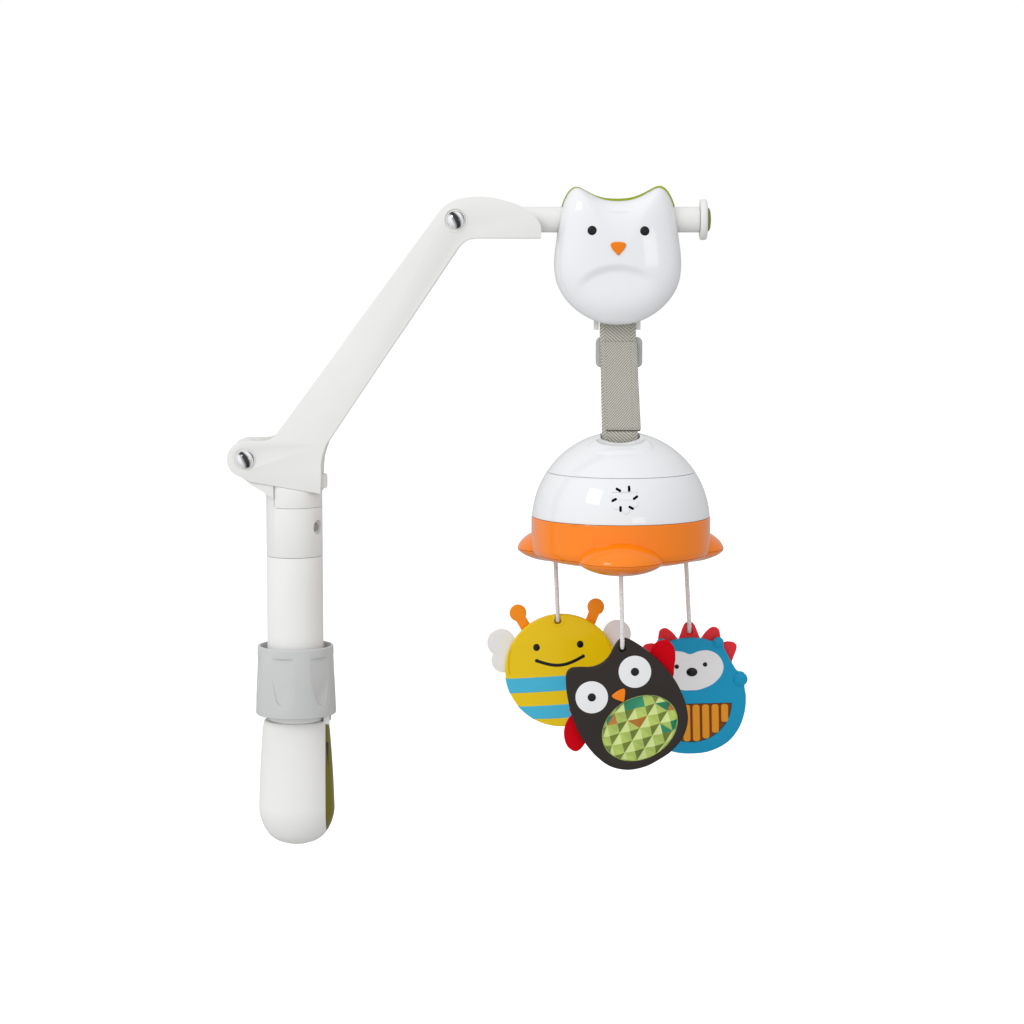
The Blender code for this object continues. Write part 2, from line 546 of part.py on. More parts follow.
def build_clip():
    front = loft("clip_front_shell", [head_section(d, s, 0, lean) for d, s, lean in FRONT_LEVELS], GLOSS)
    tree = BVHTree.FromPolygons([v.co.copy() for v in front.data.vertices], [tuple(p.vertices) for p in front.data.polygons])
    wall = front.modifiers.new("wall", "SOLIDIFY")
    wall.thickness = SHELL * MM
    wall.offset = -1
    rod_path = cylinder("rod_path", ROD_R + 1.2, 150, 360, (0, 0, ROD_Z), WHITE, "X", 24)
    boolean(front, rod_path)
    boolean(front, box("grip_rib", (CLIP_X - 9, CLIP_X + 9), (-31.0, -14.8), (489, 504), GLOSS), "UNION")
    y, z = CLIP_PIVOT
    pin_path = cylinder("clip_pin_path", 2.0 + GAP, CLIP_X - 25, CLIP_X + 25, (0, y, z), WHITE, "X", 14)
    for side in (-1, 1):
        span = sorted((CLIP_X + side * 12, CLIP_X + side * 15.6))
        boolean(front, box(f"front_lug_{side}", span, (-32.0, y + 3.8), (z - 5, z + 5), GLOSS), "UNION")
    boolean(front, pin_path)

    back = loft("clip_back_shell", [head_section(d, s, 0.9, 0) for d, s, _ in BACK_LEVELS], LIME)
    wall = back.modifiers.new("wall", "SOLIDIFY")
    wall.thickness = SHELL * MM
    wall.offset = -1
    boolean(back, rod_path)
    boolean(back, box("bracket_path", (CLIP_X - BRACKET_HALF - 0.6, CLIP_X + BRACKET_HALF + 0.6), (-3, 13), (390, 412), LIME))

    frame = box("clip_frame", (CLIP_X - BRACKET_HALF, CLIP_X + BRACKET_HALF), (14.9, 17.2), (440, 505), WHITE)
    for side in (-1, 1):
        span = sorted((CLIP_X + side * (BRACKET_HALF - BRACKET_CHEEK), CLIP_X + side * BRACKET_HALF))
        cheek = [(-2, BRACKET_LOW), (8, BRACKET_LOW), (8, 432), (16, 442), (16, 468), (-5.5, 468), (-5.5, 442), (-2, 436)]
        boolean(frame, plate(f"frame_cheek_{side}", [cheek], span[0], span[1], WHITE, "YZ"), "UNION")
    inner = BRACKET_HALF - BRACKET_CHEEK + 1
    boolean(frame, cylinder("strap_bar_top", BAR_R, CLIP_X - inner, CLIP_X + inner, (0, STRAP_Y, STRAP_TOP), WHITE, "X", 12), "UNION")
    boolean(frame, pin_path)
    cylinder("clip_pin", 2.0, CLIP_X - BRACKET_HALF, CLIP_X + BRACKET_HALF, (0, y, z), STEEL, "X", 12)
    coil("clip_spring", 3.3, 0.55, CLIP_X - 9, CLIP_X + 9, 6, (0, y, z), STEEL)
    half_ring("clip_rear_grip", RUBBER, 1)
    half_ring("clip_front_grip", RUBBER, -1)

    def surface_y(x, z):
        hit = tree.ray_cast(Vector((x, -200, z)) * MM, Vector((0, 1, 0)))[0]
        return hit.y / MM

    def resting_y(loop):
        """Front depth at which a flat piece clears the shell everywhere under it."""
        return min(surface_y(x, z) for x, z in loop) - GAP

    for name, x, z in (("left_eye", CLIP_X - 23.4, 487.2), ("right_eye", CLIP_X + 22.4, 486.8)):
        at = resting_y(circle((x, z), 4.3, 8) + [(x, z)])
        lens = turned(name, [(0, 1.5), (3.2, 1.1), (4.3, 0), (0, 0)], (x, at, z), BLACK, "Y", 14)
        lens.rotation_euler = (math.pi / 2, 0, 0)
    beak = flowing([(0, -6.2), (3.2, -3.0), (6.2, 1.4), (6.0, 4.6), (0, 5.6), (-6.0, 4.6), (-6.2, 1.4), (-3.2, -3.0)], 2)
    beak = [(CLIP_X - 0.6 + x, 471.8 + z) for x, z in beak]
    at = resting_y(beak)
    plate("beak", [beak], at - 1.6, at, ORANGE)


# ---------------------------------------------------------------- strap
def build_strap():
    def racetrack(radius, count):
        top = arc((STRAP_Y, STRAP_TOP), radius, 0, 180, count)
        return top + arc((STRAP_Y, STRAP_LOW), radius, 180, 360, count)

    half = STRAP_WIDTH / 2
    strap = plate("strap", [racetrack(STRAP_INNER_R + STRAP_THICK, 7), racetrack(STRAP_INNER_R, 7)],
                  STRAP_X_TOP - half, STRAP_X_TOP + half, WEBBING, "YZ")
    lean = math.atan2(STRAP_X_LOW - STRAP_X_TOP, STRAP_TOP - STRAP_LOW)
    pivot = Matrix.Translation((STRAP_X_TOP * MM, 0, STRAP_TOP * MM))
    strap.data.transform(pivot @ Matrix.Rotation(-lean, 4, "Y") @ pivot.inverted())
    body = rectangle(243.2, 285.2, 364.8, 392.0, 5)
    slots = [rectangle(247.2, 281.2, 383.5, 387.3), rectangle(247.2, 281.2, 369.5, 373.3)]
    plate("strap_slider", [body] + slots, STRAP_Y - 1.1, STRAP_Y + 1.1, SLIDER)


# ---------------------------------------------------------------- dome
def dome_profile(low, high, count):
    return [(dome_radius(z), z) for z in (high + (low - high) * i / (count - 1) for i in range(count))]


def crown_profile():
    """Outside of the cap, from the top down, by even steps of angle."""
    end = math.asin((CAP_SEAM + GAP / 2 - DOME_Z) / DOME_HEIGHT)
    angles = [math.pi / 2 + (end - math.pi / 2) * i / 7 for i in range(8)]
    return [(DOME_R * math.cos(a) if i else 0.0, DOME_Z + DOME_HEIGHT * math.sin(a)) for i, a in enumerate(angles)]


def dish(name, wall):
    """The oval hollow in the cap, in front of its middle, that the strap goes down into."""
    rows = [math.pi * i / 8 for i in range(9)]
    profile = [(math.sin(a) if 0 < i < 8 else 0.0, math.cos(a)) for i, a in enumerate(rows)]
    made = turned(name, profile, (265.0, DOME_Y - 25.5, 311.2), GLOSS, steps=24)
    made.scale = [size + wall for size in DISH_SIZE]
    made.rotation_euler.x = math.radians(DISH_TILT)
    return made


def build_dome():
    outside = crown_profile()
    low_r, low_z = outside[-1]
    within = [(max(0.0, r - 0.9) if i else 0.0, z - 0.9) for i, (r, z) in enumerate(outside)] + [(0, low_z - 0.9)]
    form = turned("cap_form", within, (DOME_X, DOME_Y, 0), GLOSS, steps=30)
    inside = [(max(0.0, r - DOME_WALL) if i else 0.0, z - DOME_WALL) for i, (r, z) in enumerate(outside)]
    inside = [(0, low_z - 5)] + inside[::-1]
    cap = turned("dome_cap", outside + [(0, low_z)], (DOME_X, DOME_Y, 0), GLOSS, steps=30)
    hollow = turned("cap_hollow", inside[::-1], (DOME_X, DOME_Y, 0), GLOSS, steps=30)
    boolean(cap, hollow)
    boolean(cap, boolean(dish("dish_wall", DOME_WALL), form, "INTERSECT"), "UNION")
    slot_wall = box("slot_wall", (STRAP_X_LOW - 21, STRAP_X_LOW + 21), (STRAP_Y - 11, STRAP_Y + 11), (292, 320), GLOSS)
    boolean(cap, boolean(slot_wall, form, "INTERSECT"), "UNION")
    boolean(cap, dish("dish", 0))
    boolean(cap, box("cap_slot", (STRAP_X_LOW - 17.6, STRAP_X_LOW + 17.6), (STRAP_Y - 9, STRAP_Y + 9), (270, 320), GLOSS))
    boolean(cap, cylinder("strap_bar_low", BAR_R, STRAP_X_LOW - 19, STRAP_X_LOW + 19, (0, STRAP_Y, STRAP_LOW), GLOSS, "X", 12), "UNION")

    top = CAP_SEAM - GAP / 2
    outside = dome_profile(BAND_LOW, top, 4)
    inside = [(r - DOME_WALL, z) for r, z in reversed(outside)]
    band = turned("dome_band", outside + inside, (DOME_X, DOME_Y, 0), GLOSS, steps=30, closed=True)
    grille = (267.3, 253.9)
    for k in range(6):
        turn = math.radians(75 + 60 * k)
        slot = box(f"speaker_slot_{k}", (-2.6, 2.6), (-90, -60), (-0.9, 0.9), BLACK)
        slot.location = Vector((grille[0] + 9.2 * math.cos(turn), 0, grille[1] + 9.2 * math.sin(turn))) * MM
        slot.rotation_euler.y = -turn - math.radians(15)
        boolean(band, slot)
    boolean(band, cylinder("button_hole", 9.3, 60, 90, (DOME_X, DOME_Y, 251), GLOSS, "Y", 24))
    button = [(0, 79.6), (7.6, 79.2), (9.0, 78.0), (9.0, 68.6), (10.6, 68.6), (10.6, 66.8), (0, 66.8)]
    turned("music_button", button, (DOME_X, DOME_Y, 251), ORANGE, "Y", 24)

    chassis = turned("chassis", [(0, 235.0), (76.0, 235.0), (76.0, 232.6), (0, 232.6)], (DOME_X, DOME_Y, 0), NYLON, steps=24)
    boolean(chassis, cylinder("axle_hole", 3.0 + GAP, 220, 250, (DOME_X, DOME_Y, 0), NYLON, steps=16))
    reach = MODULE * (PINION_TEETH + RING_TEETH) / 2
    motor_x, motor_y = DOME_X - reach * math.cos(math.pi / 6), DOME_Y - reach / 2
    boolean(chassis, cylinder("shaft_hole", 2.0, 220, 250, (motor_x, motor_y, 0), NYLON, steps=16))
    cylinder("motor", 12.0, 235.0 + GAP, 262, (motor_x, motor_y, 0), STEEL, steps=24)
    turned("speaker", [(0, -52), (9, -52), (9, -57), (14, -58.5), (14, -62), (12, -62), (6, -60), (0, -60)],
           (DOME_X + 0.6, DOME_Y, 253), BLACK, "Y", 24)
    box("circuit_board", (DOME_X - 32, DOME_X + 32), (DOME_Y + 14, DOME_Y + 58), (235.3, 236.9), BOARD)
    for k in range(2):
        cell = [(0, 25.2), (3.2, 25.2), (3.2, 23.8), (CELL_R, 23.8), (CELL_R, -24.8), (0, -24.8)]
        turned(f"battery_{k + 1}", cell, (DOME_X + 12, DOME_Y - 10 - 27.4 * k, 252.2), CELL, "X", 20)
    axle = [(0, 238), (5.5, 238), (5.5, 235.0 + GAP), (3, 235.0 + GAP), (3, 186.0), (6.5, 186.0), (6.5, 183.6), (0, 183.0)]
    turned("rotor_axle", axle, (DOME_X, DOME_Y, 0), STEEL, steps=20)
    pinion = plate("motor_pinion", [gear_outline(PINION_TEETH, math.radians(30))], GEAR_LOW - 0.5, GEAR_HIGH + 0.5, NYLON, "XY")
    pinion.data.transform(Matrix.Translation((motor_x * MM, motor_y * MM, 0)))
    boolean(pinion, cylinder("pinion_shaft", 1.5, 220, 234.6, (motor_x, motor_y, 0), NYLON, steps=12), "UNION")


def gear_outline(teeth, phase):
    """Straight-flanked teeth with working clearance; a tooth is centred on `phase`."""
    pitch_r = teeth * MODULE / 2
    pitch = math.pi * MODULE
    loop = []
    for k in range(teeth):
        middle = 2 * math.pi * k / teeth + phase
        for radius, offset in ((pitch_r - MODULE, -0.30), (pitch_r + 0.75 * MODULE, -0.09),
                               (pitch_r + 0.75 * MODULE, 0.09), (pitch_r - MODULE, 0.30)):
            angle = middle + offset * pitch / pitch_r
            loop.append((radius * math.cos(angle), radius * math.sin(angle)))
    return loop


# ---------------------------------------------------------------- rotor
def lens(name, rise, drop, radius, thinner=0.0, steps=16):
    """A lens-shaped petal half: a cap of a sphere above (rise) or below (drop) the split line."""
    height = rise or drop
    sphere = (radius ** 2 + height ** 2) / (2 * height)
    spread = math.asin(radius / sphere)
    count = 2 if thinner else 3
    rows = [(sphere * math.sin(spread * i / count), sphere * math.cos(spread * i / count) - sphere + height - thinner)
            for i in range(count + 1)]
    rows = [(r - thinner * math.sin(spread * i / count), h) for i, (r, h) in enumerate(rows)]
    if rise:
        profile = [(max(0.0, r), ROTOR_SPLIT + h) for r, h in rows] + [(0, ROTOR_SPLIT - (1 if thinner else 0))]
        profile.insert(-1, (profile[-2][0], ROTOR_SPLIT - (1 if thinner else 0)))
    else:
        profile = [(0, ROTOR_SPLIT + (1 if thinner else 0)), (rows[-1][0], ROTOR_SPLIT + (1 if thinner else 0))]
        profile += [(max(0.0, r), ROTOR_SPLIT - h) for r, h in reversed(rows)]
    profile = [p for i, p in enumerate(profile) if not i or math.dist(p, profile[i - 1]) > 1e-6]
    return turned(name, profile, (0, 0, 0), ORANGE, steps=steps)


def around_rotor(radius, k):
    """A place on the rotor: petal 0 faces the viewer, the others follow at 120 degrees."""
    angle = math.radians(-90 + 120 * k + ROTOR_TURN)
    return DOME_X + radius * math.cos(angle), DOME_Y + radius * math.sin(angle)


def build_rotor():
    split = ROTOR_SPLIT + GAP / 2
    shape = [(0, ROTOR_TOP), (ROTOR_R - 0.6, ROTOR_TOP), (ROTOR_R, ROTOR_TOP - 0.6), (ROTOR_R, 203), (79.4, 199.5), (78.6, split)]
    shell = turned("rotor_shell", shape + [(0, split)], (DOME_X, DOME_Y, 0), ORANGE, steps=30)
    core = cylinder("rotor_core", ROTOR_R - DOME_WALL, 190, 240, (DOME_X, DOME_Y, 0), ORANGE, steps=30)
    low_core = cylinder("rotor_low_core", 76.0, 190, 240, (DOME_X, DOME_Y, 0), ORANGE, steps=30)
    base_profile = [(0, split - GAP), (78.6, split - GAP), (74, 193.6), (60, 190.2), (35, 187.8), (0, 186.8)]
    base = turned("rotor_base", base_profile, (DOME_X, DOME_Y, 0), ORANGE, steps=30)
    hollow_profile = [(0, 200), (76.2, 200), (76.0, 197.0), (58, 192.6), (35, 190.2), (0, 189.2)]
    hollow = turned("base_hollow", hollow_profile, (DOME_X, DOME_Y, 0), ORANGE, steps=30)
    core.location.z = 12 * MM
    petals, hollows = [], []
    for k in range(3):
        x, y = around_rotor(PETAL_RING, k)
        for group, tag, thinner in ((petals, "petal", 0.0), (hollows, "petal_hollow", DOME_WALL)):
            for part, rise, drop in (("top", PETAL_RISE, 0), ("low", 0, PETAL_DROP)):
                piece = lens(f"{tag}_{part}_{k}", rise, drop, PETAL_R, thinner)
                piece.location = Vector((x, y, GAP / 2 if rise else -GAP / 2)) * MM
                group.append((part, piece))
    for part, piece in petals:
        boolean(shell if part == "top" else base, piece, "UNION")
    boolean(shell, core)
    boolean(shell, low_core)
    boolean(base, hollow)
    for part, piece in hollows:
        boolean(shell if part == "top" else base, piece)
    gear = plate("ring_gear", [gear_outline(RING_TEETH, math.radians(210) + math.pi / RING_TEETH)], GEAR_LOW, GEAR_HIGH, ORANGE, "XY")
    gear.data.transform(Matrix.Translation((DOME_X * MM, DOME_Y * MM, 0)))
    boolean(base, cylinder("gear_hub", 9.0, 188, 218, (DOME_X, DOME_Y, 0), ORANGE, steps=20), "UNION")
    boolean(base, gear, "UNION")
    boolean(base, cylinder("gear_bore", 3.0 + GAP, 180, 240, (DOME_X, DOME_Y, 0), ORANGE, steps=16))
    for k, name in enumerate(("owl", "hedgehog", "bee")):
        x, y = around_rotor(STRING_RING, k)
        boolean(base, cylinder(f"string_hole_{k}", 3.0, 178, 192, (x, y, 0), ORANGE, steps=12))
        ring(f"{name}_bead", BEAD_R, STRING_R + GAP, BEAD_LOW, BEAD_HIGH, (x, y, 0), NYLON, steps=12)


# ---------------------------------------------------------------- toys
def string(name, place, end_z, lean):
    """A braided string: down from the rotor, leaning to one side, then bent back into its toy's hole."""
    x, y = place
    bend = 8.0
    curve = bpy.data.curves.new(name, "CURVE")
    curve.dimensions = "3D"
    curve.bevel_depth = STRING_R * MM
    curve.bevel_resolution = 2
    curve.use_fill_caps = True
    knee = end_z + bend * math.sin(math.radians(48))
    straight = 9
    top = BEAD_HIGH + 1
    points = [(x, y, top)]
    points += [(x + lean * i / straight, y, BEAD_LOW + (knee - BEAD_LOW) * i / straight) for i in range(straight + 1)]
    for step in range(1, 5):
        angle = math.radians(48 * step / 4)
        points.append((x + lean, y + bend * (1 - math.cos(angle)), knee - bend * math.sin(angle)))
    spline = curve.splines.new("POLY")
    spline.points.add(len(points) - 1)
    for point, place in zip(spline.points, points):
        point.co = (*(Vector(place) * MM), 1)
    curve.materials.append(CORD)
    made = bpy.data.objects.new(name, curve)
    PARTS.objects.link(made)
    return made


def place_toy(pieces, hole, hole_local, tilt, face_y):
    """Move pieces drawn about the toy's own centre so that its hole hangs on its string."""
    move = Matrix.Translation(Vector((hole[0], face_y, hole[1])) * MM)
    move = move @ Matrix.Rotation(math.radians(-tilt), 4, "Y")
    move = move @ Matrix.Translation(Vector((-hole_local[0], 0, -hole_local[1])) * MM)
    for piece in pieces:
        if piece.name in CUTTERS.objects or piece.name in PARTS.objects:
            piece.data.transform(move)


def string_slot(body, name, hole_local, tilt, top, front, deep):
    """The hole that the string goes into, and the groove that leads to it from the edge above."""
    x, z = hole_local
    slot = plate(name + "_hole", [rectangle(x - 4.2, x + 4.2, z - 2.8, z + 2.8, 2.6)], -12, 12, WHITE)
    groove = box(name + "_groove", (-2.9, 2.9), (front - 1, deep), (0, top), WHITE)
    groove.data.transform(Matrix.Translation(Vector((x, 0, z)) * MM) @ Matrix.Rotation(math.radians(tilt), 4, "Y"))
    boolean(body, slot)
    boolean(body, groove)
    return [slot, groove]


def build_toys():
    half = TOY_THICK / 2
    back = half + GAP
    sink = 3.4                # how far a toy's middle lies behind its string

    # bee
    x, y = around_rotor(STRING_RING, 2)
    hole, tilt, hole_z, lean = (0.0, 46.5), 4.5, 129.0, 2.4
    body = plate("bee_body", [circle((0, 0), 52.0, 32, 1.008)], -half, half, YELLOW)
    cuts = string_slot(body, "bee", hole, tilt, 14, -half, -0.3)
    wings = plate("bee_wings", [rectangle(-46, 46, 8, 30)], back, back + 2, CLEAR)
    lobes = []
    for side in (-1, 1):
        for part, at, r in (("upper", (53.5, 29), 13.0), ("lower", (53, 12.5), 11.5)):
            lobe = plate(f"wing_{part}_{side}", [circle((side * at[0], at[1]), r, 14)], back, back + 2, CLEAR)
            boolean(wings, lobe, "UNION")
            lobes.append(lobe)
    feelers = plate("bee_antennae", [rectangle(-30, 30, 36, 42)], back, back + 3.5, ORANGE)
    for side in (-1, 1):
        stem = [(side * a, b) for a, b in ((22.5, 37.5), (31.2, 35.5), (40.2, 53.0), (32.4, 57.0))]
        for tag, loop in (("ball", circle((side * 36, 55.5), 7.8, 14)), ("stem", stem)):
            piece = plate(f"feeler_{tag}_{side}", [loop], back, back + 3.5, ORANGE)
            boolean(feelers, piece, "UNION")
            lobes.append(piece)
    place_toy([body, wings, feelers] + cuts + lobes, (x + lean, hole_z), hole, tilt, y + sink)
    string("bee_string", (x, y), hole_z, lean)

    # owl
    x, y = around_rotor(STRING_RING, 0)
    hole, tilt, hole_z, lean = (23.4, 44.8), 31.0, 120.6, 1.6
    half_owl = [(0, 42.5), (9, 44.3), (17.5, 49.3), (25, 52.6), (30.6, 50.6), (35.4, 43.6), (40.8, 31.8), (45.6, 17), (48.3, 1),
                (48.4, -13), (45.8, -28), (39.8, -41.5), (28.5, -51.8), (14, -57.2), (0, -58.2)]
    body = plate("owl_body", [mirrored(half_owl)], -half, half, CHARCOAL)
    cuts = string_slot(body, "owl", hole, tilt, 16, -half, -0.3)
    recess = plate("owl_recess", [circle((0, -25), 35.8, 24, 27.8 / 35.8)], -half - 1, -0.6, WHITE)
    boolean(body, recess)
    gem = plate("owl_belly", [circle((0, -25), 35.5, 24, 27.5 / 35.5)], -half - 0.2, -0.9, GEM)
    cloth = plate("owl_wings", [rectangle(-46, 46, -2, 22)], back, back + 2, RED_CLOTH)
    leaf = [(36, 20), (44, 29), (52, 33), (60, 32.5), (66, 28), (66.5, 20), (62, 12), (56, 5.5), (48, -2), (38, -4)]
    right = plate("wing_cloth_right", [flowing(leaf, 2)], back, back + 2, RED_CLOTH)
    leaf = [(-36, 16), (-46, 15.5), (-55, 11), (-61.5, 3), (-64, -7), (-60.5, -14.5), (-54, -15), (-46, -11), (-38, -6)]
    left = plate("wing_cloth_left", [flowing(leaf, 2)], back, back + 2, RED_CLOTH)
    boolean(cloth, right, "UNION")
    boolean(cloth, left, "UNION")
    place_toy([body, gem, cloth, recess, right, left] + cuts, (x + lean, hole_z), hole, tilt, y + sink)
    string("owl_string", (x, y), hole_z, lean)

    # hedgehog: its string hangs from the middle spike, so its body lies in front of the string
    x, y = around_rotor(STRING_RING, 1)
    hole, tilt, hole_z, lean = (0.0, 58.6), 1.5, 119.4, 3.8
    half_hog = [(0, 53.8), (12, 52.8), (21, 50.4), (25.5, 53.6), (30.2, 50.6), (31.5, 43.5), (38.5, 29.5), (43.0, 22.2), (49.0, 20.2),
                (51.0, 14), (49.4, 8.5), (50.6, -3), (49.0, -17), (43.5, -31.5), (33, -44), (17, -52), (0, -54)]
    body = plate("hedgehog_body", [mirrored(half_hog)], -half, half, BLUE)
    moon = [(37.4 * px, -7 + 36.2 * pz) for px, pz in arc((0, 0), 1, 0, -180, 14)]
    recess = plate("hedgehog_recess", [moon], -half - 1, -0.6, WHITE)
    boolean(body, recess)
    moon = [(36.9 * px, -7.5 + 35.2 * pz) for px, pz in arc((0, 0), 1, 0, -180, 14)]
    ribs = plate("hedgehog_belly", [moon], -half - 0.2, -0.9, AMBER)
    half_spikes = [(0, 67.6), (4.6, 65.4), (8.8, 55.0), (10.6, 52.5), (15.5, 58.4), (21.5, 62.4), (27, 60.4), (28.6, 54), (29.6, 48), (35, 48.6),
                   (41, 47.4), (43.4, 43.6), (41, 36), (34, 22), (16, 10), (0, 8)]
    spikes = plate("hedgehog_spikes", [mirrored(half_spikes)], -1.75, 1.75, SPIKE)
    cuts = string_slot(spikes, "hedgehog", hole, tilt, 14, -1.75, 0.9)
    place_toy([spikes] + cuts, (x + lean, hole_z), hole, tilt, y + 2.2)
    place_toy([body, ribs, recess], (x + lean, hole_z), hole, tilt, y + 2.2 - 1.75 - GAP - half)
    string("hedgehog_string", (x, y), hole_z, lean)


# ---------------------------------------------------------------- joints
JOINTS = [                    # empty, place in mm, parent empty, the pieces that turn or slide with it
    ("collar_axis", (POST_X, 0, 80), None, ["collar"]),
    ("ring_axis", (POST_X, 0, 75), None, ["thrust_ring"]),
    ("jaw_axis", (JAW_PIN[0], 0, JAW_PIN[1]), None, ["clamp_jaw", "jaw_pad"]),
    ("arm_axis", (LOWER_PIVOT[0], 0, LOWER_PIVOT[1]), None, ["arm", "upper_pivot_pin", "latch_spring"]),
    ("latch_axis", (-10, 0, 264), "arm_axis", ["latch_button"]),
    ("rod_axis", (UPPER_PIVOT[0], 0, UPPER_PIVOT[1]), "arm_axis", ["rod", "rod_knuckle", "rod_flange", "rod_end_cap"]),
    ("clip_axis", (CLIP_X, 0, ROD_Z), "rod_axis", ["clip_frame", "clip_back_shell", "clip_pin", "clip_spring", "clip_rear_grip"]),
    ("clip_hinge", (CLIP_X, *CLIP_PIVOT), "clip_axis", ["clip_front_shell", "clip_front_grip", "left_eye", "right_eye", "beak"]),
    ("strap_hinge", (STRAP_X_TOP, STRAP_Y, STRAP_TOP), "clip_axis", ["strap"]),
    ("slider_axis", (264.2, STRAP_Y, 378.4), "strap_hinge", ["strap_slider"]),
    ("dome_hinge", (STRAP_X_LOW, STRAP_Y, STRAP_LOW), "strap_hinge",
     ["dome_cap", "dome_band", "chassis", "motor", "speaker", "circuit_board", "battery_1", "battery_2", "rotor_axle"]),
    ("music_axis", (DOME_X, DOME_Y + 75, 251), "dome_hinge", ["music_button"]),
    ("pinion_axis", (DOME_X - MODULE * 20 * math.cos(math.pi / 6), DOME_Y - MODULE * 10, 219), "dome_hinge", ["motor_pinion"]),
    ("rotor_axis", (DOME_X, DOME_Y, 210), "dome_hinge", ["rotor_shell", "rotor_base"]),
]


def build_joints():
    rigs = list(JOINTS)
    for name, k in (("owl", 0), ("hedgehog", 1), ("bee", 2)):
        place = around_rotor(STRING_RING, k)
        extra = {"bee": ["bee_wings", "bee_antennae"], "owl": ["owl_belly", "owl_wings"],
                 "hedgehog": ["hedgehog_belly", "hedgehog_spikes"]}[name]
        rigs.append((f"{name}_swing_axis", (*place, STRING_EXIT), "rotor_axis", [f"{name}_bead"]))
        rigs.append((f"{name}_twist_axis", (*place, STRING_EXIT), f"{name}_swing_axis", [f"{name}_string", f"{name}_body"] + extra))
    for name, place, parent, pieces in rigs:
        empty = bpy.data.objects.new(name, None)
        PARTS.objects.link(empty)
        empty.location = Vector(place) * MM
        if parent:
            keep_place(empty, bpy.data.objects[parent])
        bpy.context.view_layer.update()
        for piece in pieces:
            keep_place(bpy.data.objects[piece], empty)


def keep_place(child, parent):
    child.parent = parent
    child.matrix_parent_inverse = parent.matrix_world.inverted()


build_clamp()
build_collar()
build_post()
build_arm()
build_rod()
build_clip()
build_strap()
build_dome()
build_rotor()
build_toys()
build_joints()
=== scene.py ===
"""Looks of the crib mobile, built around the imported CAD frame.

Sizes are in millimetres in the CAD frame: +Z up, +X towards the toys, -Y towards the viewer.
"""
from math import asin, atan2, cos, degrees, hypot, pi, radians, sin, sqrt

import bmesh
import bpy
from mathutils import Matrix, Vector


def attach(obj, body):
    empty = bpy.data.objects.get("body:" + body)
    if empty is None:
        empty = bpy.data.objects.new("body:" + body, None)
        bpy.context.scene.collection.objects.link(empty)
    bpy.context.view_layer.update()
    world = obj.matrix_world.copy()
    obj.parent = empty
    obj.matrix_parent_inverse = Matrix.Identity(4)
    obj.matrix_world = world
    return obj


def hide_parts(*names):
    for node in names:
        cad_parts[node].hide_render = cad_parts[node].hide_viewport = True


MM = 0.001
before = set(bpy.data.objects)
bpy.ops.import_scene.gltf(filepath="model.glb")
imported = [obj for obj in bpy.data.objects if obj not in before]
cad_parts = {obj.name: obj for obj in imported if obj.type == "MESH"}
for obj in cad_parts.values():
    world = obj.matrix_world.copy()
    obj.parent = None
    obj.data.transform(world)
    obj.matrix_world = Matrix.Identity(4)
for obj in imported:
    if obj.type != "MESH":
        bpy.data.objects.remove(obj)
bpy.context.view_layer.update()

# ---- places shared with the CAD model
POST_X, POST_R = -27.4, 25.3
LOWER_PIVOT, UPPER_PIVOT = (-69.1, 284.3), (118.7, 496.5)
ARM_HALF, CHEEK = 23.0, 3.5
SEAM_AT, SEAM_SLOPE = (-2.3, 253.4), 0.17
ROD_Z, ROD_R = 496.5, 11.4
CLIP_X, CLIP_Z = 262.5, 462.0
CLIP_PIVOT = (-1.0, 455.0)
STRAP_TOP, STRAP_LOW = 412.0, 297.0
STRAP_X_TOP, STRAP_X_LOW = 262.7, 265.4
STRAP_LEAN = (STRAP_X_LOW - STRAP_X_TOP) / (STRAP_TOP - STRAP_LOW)
DOME_X, DOME_Y = 266.7, 7.0
DOME_R, DOME_Z, DOME_HEIGHT = 80.4, 225.0, 82.0
CAP_SEAM, BAND_LOW = 270.8, 230.9
ROTOR_R, ROTOR_TOP, ROTOR_SPLIT = 80.7, 229.6, 197.2
PETAL_RING, PETAL_R, PETAL_RISE, PETAL_DROP = 65.0, 38.0, 20.0, 12.2
STRING_RING, STRING_R, STRING_EXIT, STRING_TOP = 69.0, 2.0, 186.3, 194.0
BEAD_LOW = 190.0
ROTOR_TURN = -2.0
OPENING = (265.0, 311.2)                # x and z of the oval opening's middle
SPEAKER = (267.3, 253.9)
PIVOT_HOLE, CLIP_HOLE, JAW_HOLE, SCREW_HOLE = 4.3, 2.3, 1.5, 2.0
GAP = 0.3                                # the gap drawn between neighbouring pieces
CLIP_WALL, SHELL_WALL = 2.2, 2.4
TOY_HALF, FRONT = 3.5, -3.5              # half the thickness of a toy's disc, and its front face
SKY_LOW, SKY_HIGH = 0.46, 1.08   # light from behind on the right, and from the front on the left


# ---- materials
def linear(r, g, b):
    """Display colour, 0 to 255, as linear light."""
    parts = (r / 255, g / 255, b / 255)
    return tuple(c / 12.92 if c <= 0.04045 else ((c + 0.055) / 1.055) ** 2.4 for c in parts) + (1.0,)


class Value:
    """The output of a node, with arithmetic that adds maths nodes."""

    def __init__(self, made, socket):
        self.made, self.socket = made, socket

    def join(self, operation, other=None):
        node = self.made.add("ShaderNodeMath", operation=operation)
        for into, value in zip(node.inputs, (self, other)):
            if isinstance(value, Value):
                self.made.link(value.socket, into)
            elif value is not None:
                into.default_value = value
        return Value(self.made, node.outputs[0])

    def __add__(self, other):
        return self.join("ADD", other)

    def __sub__(self, other):
        return self.join("SUBTRACT", other)

    def __mul__(self, other):
        return self.join("MULTIPLY", other)

    def wave(self):
        return self.join("SINE")

    def size(self):
        return self.join("ABSOLUTE")


